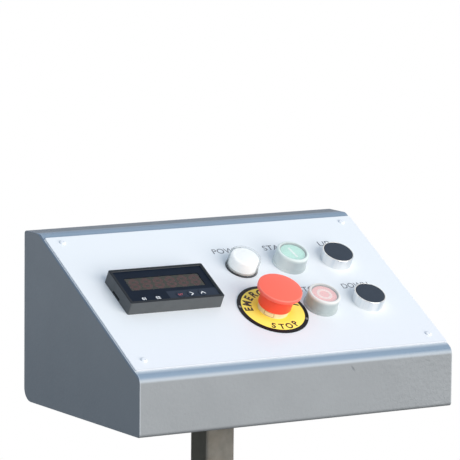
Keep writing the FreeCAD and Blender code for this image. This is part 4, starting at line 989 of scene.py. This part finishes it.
KEY_MARKS = {
    "set": (moved(lettering("SET", 2.3, 0.06, "CENTER"), 0, -1.15), "key red"),
    "shift": (chevron(), "key white"),
    "raise": (chevron(math.pi / 2), "key white"),
}
for name, across in KEYS.items():
    body = name + "_key"
    key = moved(turned(outline(KEY_PROFILE, False), segments=64), across, KEY_ROW)
    meter_piece(f"{name}_key_button", key, "key", "key_grey", body=body,
                replaces=[f"meter_{name}_key"])
    shape, finish = KEY_MARKS[name]
    meter_piece(f"{name}_key_mark", moved(shape, across, KEY_ROW - 0.6, 12.03), finish, "key_grey",
                body=body)


# Pilot lamp, push buttons and emergency stop

def control(name, place, profile, finish, slot, closed=True, segments=96, **more):
    """A turned piece on a control's axis, from its (radius, out) profile."""
    shape = turned(outline(profile, closed), closed, segments)
    return piece(name, put(shape, on_panel, *PLACES[place]), finish, slot, **more)


def barrel(top, foot, rim):
    """A ring's profile with its threaded barrel down to the barrel's floor."""
    return rim + [(8, top), (8, BARREL_FLOOR), (2.98, BARREL_FLOOR), (2.98, BARREL_BOTTOM),
                  (11.0, BARREL_BOTTOM, 0.6), (11.0, foot)]


def stem(start, ceiling, foot=-20.2, edge=0.0):
    """The profile of a hollow stem from its shoulder down to the pin's collar."""
    return [(7.92, start, edge), (7.92, foot), (6.62, foot), (6.62, ceiling), (2.9, ceiling),
            (2.9, -26.55), (3.5, -26.55), (3.5, -28.05), (0, -28.05)]


def spring(place, ceiling):
    """A control's return spring."""
    low, high = BARREL_FLOOR + 0.3, ceiling - 0.3
    across, up = PLACES[place]
    thing = piece(f"{place}_return_spring", put(coil(4.76, 0.5, low, high, 7), on_panel, across, up),
                  "spring", "spring_wire", replaces=[f"{place}_spring"])
    anchor = on_panel((across, up, low)) * MM
    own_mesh(thing)


for name in ("up", "down"):
    ring = [(14.3, ON_GASKET), (14.3, SKIRT), (14.8, SKIRT), (14.8, 11.5, 0.5), (13.8, 11.5, 0.2),
            (13.8, 3.8)]
    control(f"{name}_ring", name, barrel(3.8, ON_GASKET, ring), "chrome", "chrome_ring",
            replaces=[f"{name}_bezel"])
    top = [(0, 11.55), (6, 11.57), (13.6, 11.7, 0.5), (13.6, 8.1), *stem(8.1, 9.7)]
    control(f"{name}_button", name, top, "black", "cap_black", False,
            body=f"{name}_button", replaces=[f"{name}_cap"])
    spring(name, 9.7)

BOOT = [(0, 15.85), (12.3, 16.0, 0.3), (12.9, 16.5, 0.3), (15.1, 16.5, 1.5), (15.1, 3.8, 0.2),
        (15.8, 3.8, 0.3), (15.8, SKIRT), (15.2, SKIRT), (15.2, ON_GASKET), (PANEL_HOLE, ON_GASKET),
        (PANEL_HOLE, 3.1), (14.2, 3.1), (14.2, 15.2, 0.9), (0, 15.2)]
for name, finish in (("start", "green"), ("stop", "pink")):
    ring = [(13.9, 3.1), (13.9, 10.0, 0.35), (12.3, 10.0), (12.3, 4.6)]
    control(f"{name}_ring", name, barrel(4.6, 3.1, ring), "chrome", "chrome_ring",
            replaces=[f"{name}_bezel"])
    top = [(0, 14.75), (6, 14.78), (12.1, 14.9, 0.8), (12.1, 8.9), *stem(8.9, 12.9)]
    control(f"{name}_button", name, top, finish, f"cap_{finish}", False,
            body=f"{name}_button", replaces=[f"{name}_cap"])
    across, up = PLACES[name]
    cover = control(f"{name}_soft_boot", name, BOOT, f"{name} boot", "boot_clear", False, 128,
                    replaces=[f"{name}_boot"])
    tuple(on_panel((across, up, ON_GASKET)) * MM)
    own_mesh(cover)
    spring(name, 12.9)

bar = moved(framed(2.2, 14.2, 0.6, [(0, 0), (0, 0.12), (0.05, 0.17)]), turn=0.18)
piece("start_mark", put(bar, on_panel, *PLACES["start"], 14.73), "mark", "cap_green",
      body="start_button")
control("stop_mark", "stop", [(4.7, 14.6), (7.4, 14.6), (7.4, 14.92, 0.05), (4.7, 14.9, 0.05)],
        "stop mark", "cap_pink", body="stop_button")

gaskets = []
for name, radius in (("power", 15.3), ("start", 15.0), ("stop", 15.0), ("up", 14.2), ("down", 14.2)):
    loop = outline([(PANEL_HOLE, PLATE), (radius, PLATE, 0.1), (radius, ON_GASKET, 0.25),
                    (PANEL_HOLE, ON_GASKET)])
    gaskets.append(moved(turned(loop, True), *PLACES[name]))
piece("foot_gaskets", put(joined(*gaskets), on_panel), "rubber", "black_rubber",
      replaces=["control_gaskets"])

lens = [(0, 16.45), (9, 16.48), (14.8, 16.5, 2.6), (14.8, 4.2, 0.4), (15.15, 3.9, 0.2), (15.15, 2.3),
        (13.5, 2.3), (13.5, 15.2, 0.9), (0, 15.2)]
control("lamp_lens", "power", lens, "lens", "lens_white", False, replaces=["power_lens"])
diffuser = [(0, 15.05), (9.6, 15.0), (9.9, 14.9, 0.1), (10.2, 15.0), (12.9, 15.0, 1.9), (13.3, 4.3),
            (12.15, 4.3), (12.15, 13.0), (0, 13.85)]
control("lamp_diffuser", "power", diffuser, "diffuser", "lens_white", False,
        replaces=["power_diffuser"])

control("estop_ring", "estop", barrel(12.0, 2.5, [(14.2, 2.5), (14.2, 12.0, 0.4)]), "keyed ring",
        "chrome_ring", replaces=["estop_bezel"])
disc = [(33.305, 1.5), (33.305, 2.5, 0.15), (PANEL_HOLE, 2.5, 0.1), (PANEL_HOLE, 1.5)]
control("estop_plate", "estop", disc, "disc", "legend_yellow", segments=192, replaces=["estop_disc"])
head = [(0, 28.7), (4, 28.633), (8, 28.43), (12, 28.093), (16, 27.62), (20.6, 26.9, 1.0),
        (20.6, 23.2, 1.2), (15.4, 20.5, 1.5), (15.4, 8.0, 0.3), (14.5, 8.0), (14.5, 17.5), (5.08, 17.5),
        (5.08, 21.95), (5.68, 21.95), (5.68, 23.8), (0, 23.8)]
control("estop_mushroom", "estop", head, "red", "estop_red", False, 160,
        body="estop_knob", replaces=["estop_head"])
spindle = [(0, 23.5), (5.6, 23.5, 0.3), (5.6, 22), (5, 22), (5, 17.45), *stem(17.45, 10, -19.7, 0.3)]
control("estop_spindle", "estop", spindle, "stem", "estop_stem_grey", False, body="estop_plunger",
        replaces=["estop_stem"])
spring("estop", 10.0)


# Lettering on the plate and the disc

def ring_text(word, radius, first, pitch, height, bold, outward=True):
    """Letters one by one round a control, each turned to stand square on its radius."""
    shapes = []
    for index, letter in enumerate(word):
        angle = math.radians(first + pitch * index)
        turn = angle - math.pi / 2 if outward else angle + math.pi / 2
        shape = moved(lettering(letter, height, 0.05, "CENTER", -bold, 0.9), 0, -height / 2)
        shapes.append(moved(shape, radius * math.cos(angle), radius * math.sin(angle), turn=turn))
    return joined(*shapes)


LEGENDS = [("POWER", 155.0, 157.7, 1.0), ("START", 208.6, 157.2, 1.04), ("UP", 268.3, 157.2, 1.1),
           ("STOP", 213.0, 94.8, 1.0), ("DOWN", 259.8, 94.7, 0.88)]
legends = joined(*(moved(lettering(word, 7.2, 0.06, narrow=wide), x, y) for word, x, y, wide in LEGENDS))
piece("panel_legends", put(legends, on_panel, 0, 0, PLATE - 0.02), "ink", "key_grey")
legend = joined(ring_text("EMERGENCY", 24.3, 174.0, -20.5, 8.0, 0.85),
                ring_text("STOP", 24.6, -116.5, 17.9, 7.2, 0.65, False))
# two small pale marks on the disc's black border
mark_shape = moved(framed(2.4, 3.2, 0.8, [(0, 0), (0, 0.05)]), 31.5)
pale_marks = joined(*(moved(mark_shape, turn=math.radians(angle)) for angle in (166.7, -32.6)))
for name, shape, finish, slot in (("disc_legend", legend, "dark ink", "black_nylon"),
                                  ("disc_ticks", pale_marks, "pale mark", "legend_yellow")):
    piece(name, put(shape, on_panel, *PLACES["estop"], ON_DISC), finish, slot)


# Pedestal

tube = framed(POST_SIDE, POST_SIDE, 3.0, [
    (0.3, BASE_TOP), (0, BASE_TOP + 0.3), (0, FLANGE_LOW - 0.3), (0.3, FLANGE_LOW), (2.5, FLANGE_LOW),
    (2.5, BASE_TOP),
], True, 6)
piece("post", put(tube, on_post), "post", "post_paint", replaces=["post_tube"], even=True)
BOLTS = [(x, y) for y in (-32.0, 32.0) for x in (-32.0, 32.0)]
flange = rounded_sheet([rectangle(90, 90, 5.0, 6)] + [circle(3.25, *place, 40) for place in BOLTS],
                       FLANGE_LOW, FLANGE_HIGH, 0.5)
piece("top_flange", put(flange, on_post), "post", "post_paint", replaces=["post_flange"], even=True)


def flange_bolt():
    """A hexagonal bolt, head down: the head's chamfered hexagon and a threaded shank, whose radius is a
    triangle wave of height less turn."""
    head = hexagonal(10.0, [(-height, radius) for height, radius in chamfered_levels(10.0, 6.0, 10.0)])
    angle = even_angles(48)
    height = np.linspace(-6.0, 10.0, 129)
    share = (height[:, None] - angle / (2 * np.pi)) % 1
    radius = 3.0 - 0.35 * np.abs(2 * share - 1)
    radius[height < 0.5] = 2.98
    radius[-2:] = [[2.4] * 48, [0.0] * 48]
    height[-1] = height[-2]
    faces = grid_faces(len(height), 48).tolist() + [list(range(48))]
    return joined(head, (polar(radius, angle, height[:, None]).reshape(-1, 3), faces))


nut = hexagonal(10.0, chamfered_levels(10.0, 0.0, 5.0, True)[1:-1], bore=3.05)
for name, shape, height in (("bolts", flange_bolt(), FLANGE_HIGH), ("nuts", nut, FLANGE_HIGH + SHEET)):
    shapes = joined(*(moved(shape, *place, height) for place in BOLTS))
    piece(f"flange_hex_{name}", put(shapes, on_post), "zinc", "screw_steel",
          replaces=[f"flange_{name}"], sharp=25)

base_loops = [rectangle(420, 360, 20.0, 10)]
base_loops += [circle(6.0, x, y, 48) for x in (-180, 180) for y in (-150, 150)]
piece("floor_plate", rounded_sheet(base_loops, 0.0, BASE_TOP, 1.0), "post", "post_paint",
      replaces=["base_plate"], even=True)


def gusset(quarter):
    """A stiffening plate on one side of the post: its outline in the upright plane, thickened."""
    loop = [(15, 0), (75, 0), (75, 10, 2.0), (25, 75, 2.0), (15, 75)]
    points, faces = prism(outline(loop), -2.5, 2.5)
    return moved((points[:, [0, 2, 1]], faces), turn=quarter * math.pi / 2)


gussets = joined(*(gusset(quarter) for quarter in range(4)))
piece("post_gussets", put(gussets, on_post, BASE_TOP), "post", "post_paint",
      replaces=["base_gussets"], bevel=0.5)


def straight(start, end, step=0.65):
    """Even points along a line."""
    start, end = np.asarray(start, float), np.asarray(end, float)
    count = max(2, int(np.linalg.norm(end - start) / step))
    return start + np.linspace(0, 1, count)[:, None] * (end - start)


def base_beads():
    """The weld beads at the post's foot: along each gusset's foot and side, and across the post's faces
    between the gussets."""
    shapes = []
    for quarter in range(4):
        for side in (-1, 1):
            foot = bead(straight((17, side * 2.5, 0), (74, side * 2.5, 0)), (0, side, 0), (0, 0, 1), 3.0)
            rise = bead(straight((15, side * 2.5, 3), (15, side * 2.5, 74)), (0, side, 0), (1, 0, 0), 2.8)
            face = bead(straight((15, side * 5, 0), (15, side * 13.5, 0)), (1, 0, 0), (0, 0, 1), 3.2)
            shapes += [moved(shape, turn=quarter * math.pi / 2) for shape in (foot, rise, face)]
    return joined(*shapes)


def flange_bead():
    """The weld bead round the post's top, under the flange."""
    ring = rectangle(POST_SIDE, POST_SIDE, 3.0, 10)
    closed = np.concatenate([ring, ring[:1]])
    step = np.concatenate([[0], np.cumsum(np.linalg.norm(np.diff(closed, axis=0), axis=1))])
    even = np.linspace(0, step[-1], 176, endpoint=False)
    x, y = (np.interp(even, step, closed[:, axis]) for axis in (0, 1))
    path = np.stack([x, y, np.zeros(len(even))], axis=1)
    ahead = np.roll(path, -1, axis=0) - np.roll(path, 1, axis=0)
    outward = np.stack([ahead[:, 1], -ahead[:, 0], np.zeros(len(even))], axis=1)
    outward /= np.linalg.norm(outward, axis=1)[:, None]
    return bead(path, outward, (0, 0, -1), 3.4, closed=True)


piece("base_welds", put(base_beads(), on_post, BASE_TOP), "post", "post_paint", sharp=60)
piece("flange_weld", put(flange_bead(), on_post, FLANGE_LOW), "post", "post_paint", sharp=60)


# Cable gland in the back wall

def dome_nut():
    """The gland's dome nut: outside, the smaller of a hexagon and a dome's radius at each height; its
    bore narrows to the cable's mouth."""
    turn = np.linspace(0, np.pi / 2, 12)
    dome = [(4.55 + 8.2 + 4.8 * math.sin(a), 6.6 + 5.2 * math.cos(a)) for a in turn]
    outside, _ = hexagonal(20.0, [(4.55, 10.6), (5.1, 11.6), (9.0, 11.7)] + dome, 96)
    bore = outline([(5.4, 17.55), (5.4, 15.15), (8.65, 15.15), (8.65, 4.55)], False)
    inside, _ = turned(bore)
    points = np.concatenate([outside, inside])
    return points, grid_faces(len(points) // 96, 96, True).tolist()


flange = hexagonal(20.0, chamfered_levels(20.0, 0.0, 4.5)[1:-1], bore=6.2)
thread = [(6.2, -9.0), (8.0, -9.0, 0.5), (8.0, 0.0), (8.6, 0.1), (8.6, 13.5, 0.5), (6.2, 13.5)]
seal = turned(outline([(4.5, 2.5), (6.2, 2.5), (6.2, 13.5), (4.5, 13.5, 0.6)]), True, 72)
piece("gland_barrel", put(joined(flange, turned(outline(thread), True, 72)), on_gland), "gland",
      "gland_grey", replaces=["gland_body"], sharp=25)
piece("gland_cap", put(dome_nut(), on_gland), "gland", "gland_grey", replaces=["gland_dome_nut"],
      sharp=25)
piece("gland_ring", put(seal, on_gland), "rubber", "black_rubber", replaces=["gland_seal"])


# Finishes of the nodes that stay

STAYING = {
    "zinc": ["panel_nuts"],
    "gland": ["gland_locknut"],
    "case": ["meter_case", "meter_clips", "meter_switches"],
    "display": ["meter_display"],
    "board": ["meter_boards"],
    "terminal": ["meter_terminals"],
    "light pipe": ["meter_light_pipes"],
    "lamp body": ["power_body"],
    "led": ["power_led"],
    "contact": ["start_contact", "stop_contact", "up_contact", "down_contact", "estop_contact"],
    "nylon": ["control_locknuts"],
}
for finish, names in STAYING.items():
    for name in names:
        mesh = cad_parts[name].data
        mesh.materials.clear()
        mesh.materials.append(FINISHES[finish].material)


# Stage, light and camera

def pale_floor():
    """A pale floor that fades into the white background with the distance from the pedestal. It sends
    less light back up than it shows."""
    finish = Finish("pale_floor", (0.80, 0.80, 0.80), 0.7, 0.2)
    pale = finish.mottled(300.0, 0.98, 1.02)
    length = finish.vector("LENGTH", [finish.place], "Value")
    seen = finish.node("ShaderNodeLightPath", {}, {}, "Is Camera Ray")
    finish.shade({"Base Color": finish.mix(seen, (0.18, 0.18, 0.18), pale)})
    share = (length.above(1400.0, 700.0) * 0.55 + 0.45) * seen
    white = finish.node("ShaderNodeEmission", {}, {"Color": (1, 1, 1, 1), "Strength": 1.0})
    body = Value(finish, finish.shader.outputs[0])
    blended = finish.node("ShaderNodeMixShader", {}, [share, body, white])
    finish.tree.links.new(blended.socket, finish.tree.nodes["Material Output"].inputs["Surface"])
    return finish


ground = turned([(0, -1.0), (900, -1.0), (2400, -1.0), (4200, -1.0)])
show("floor", mesh_of("floor", ground, pale_floor()))

world = bpy.data.worlds.new("studio")
bpy.context.scene.world = world
world.use_nodes = True
nodes, links = world.node_tree.nodes, world.node_tree.links
plain = nodes["Background"]
plain.inputs["Color"].default_value = (0.72, 0.845, 1.0, 1.0)
plain.inputs["Strength"].default_value = 0.58
white = nodes.new("ShaderNodeBackground")
white.inputs["Color"].default_value = (1.0, 1.0, 1.0, 1.0)
white.inputs["Strength"].default_value = 1.0
path = nodes.new("ShaderNodeLightPath")
either = path.outputs["Is Camera Ray"]
for ray in ("Is Glossy Ray", "Is Transmission Ray"):
    most = nodes.new("ShaderNodeMath")
    most.operation = "MAXIMUM"
    links.new(either, most.inputs[0])
    links.new(path.outputs[ray], most.inputs[1])
    either = most.outputs[0]
mixed = nodes.new("ShaderNodeMixShader")
for source, target in ((either, mixed.inputs[0]), (plain.outputs[0], mixed.inputs[1]),
                       (white.outputs[0], mixed.inputs[2]),
                       (mixed.outputs[0], nodes["World Output"].inputs["Surface"])):
    links.new(source, target)

light = bpy.data.lights.new("key", "SUN")
light.energy = 3.0
light.color = (1.0, 0.93, 0.85)
light.angle = math.radians(62)
show("key", light).rotation_euler = Vector((0.3, -0.95, 0.13)).to_track_quat("Z", "Y").to_euler()

forward = np.array([0.51731, 0.84474, -0.13717])
forward /= np.linalg.norm(forward)
right = np.array([0.85345, -0.52108, 0.0096])
right -= forward * (right @ forward)
right /= np.linalg.norm(right)
turn = np.eye(4)
turn[:3, 0] = right
turn[:3, 1] = np.cross(right, forward)
turn[:3, 2] = -forward
turn[:3, 3] = np.array([-1794.16, -2914.05, 1556.42]) * MM
view = bpy.data.cameras.new("camera")
view.lens = 301.26
view.sensor_width = 36.0
view.clip_end = 100.0
camera = show("camera", view)
camera.matrix_world = Matrix(turn.tolist())
bpy.context.scene.camera = camera

bpy.context.scene.view_settings.view_transform = "Standard"
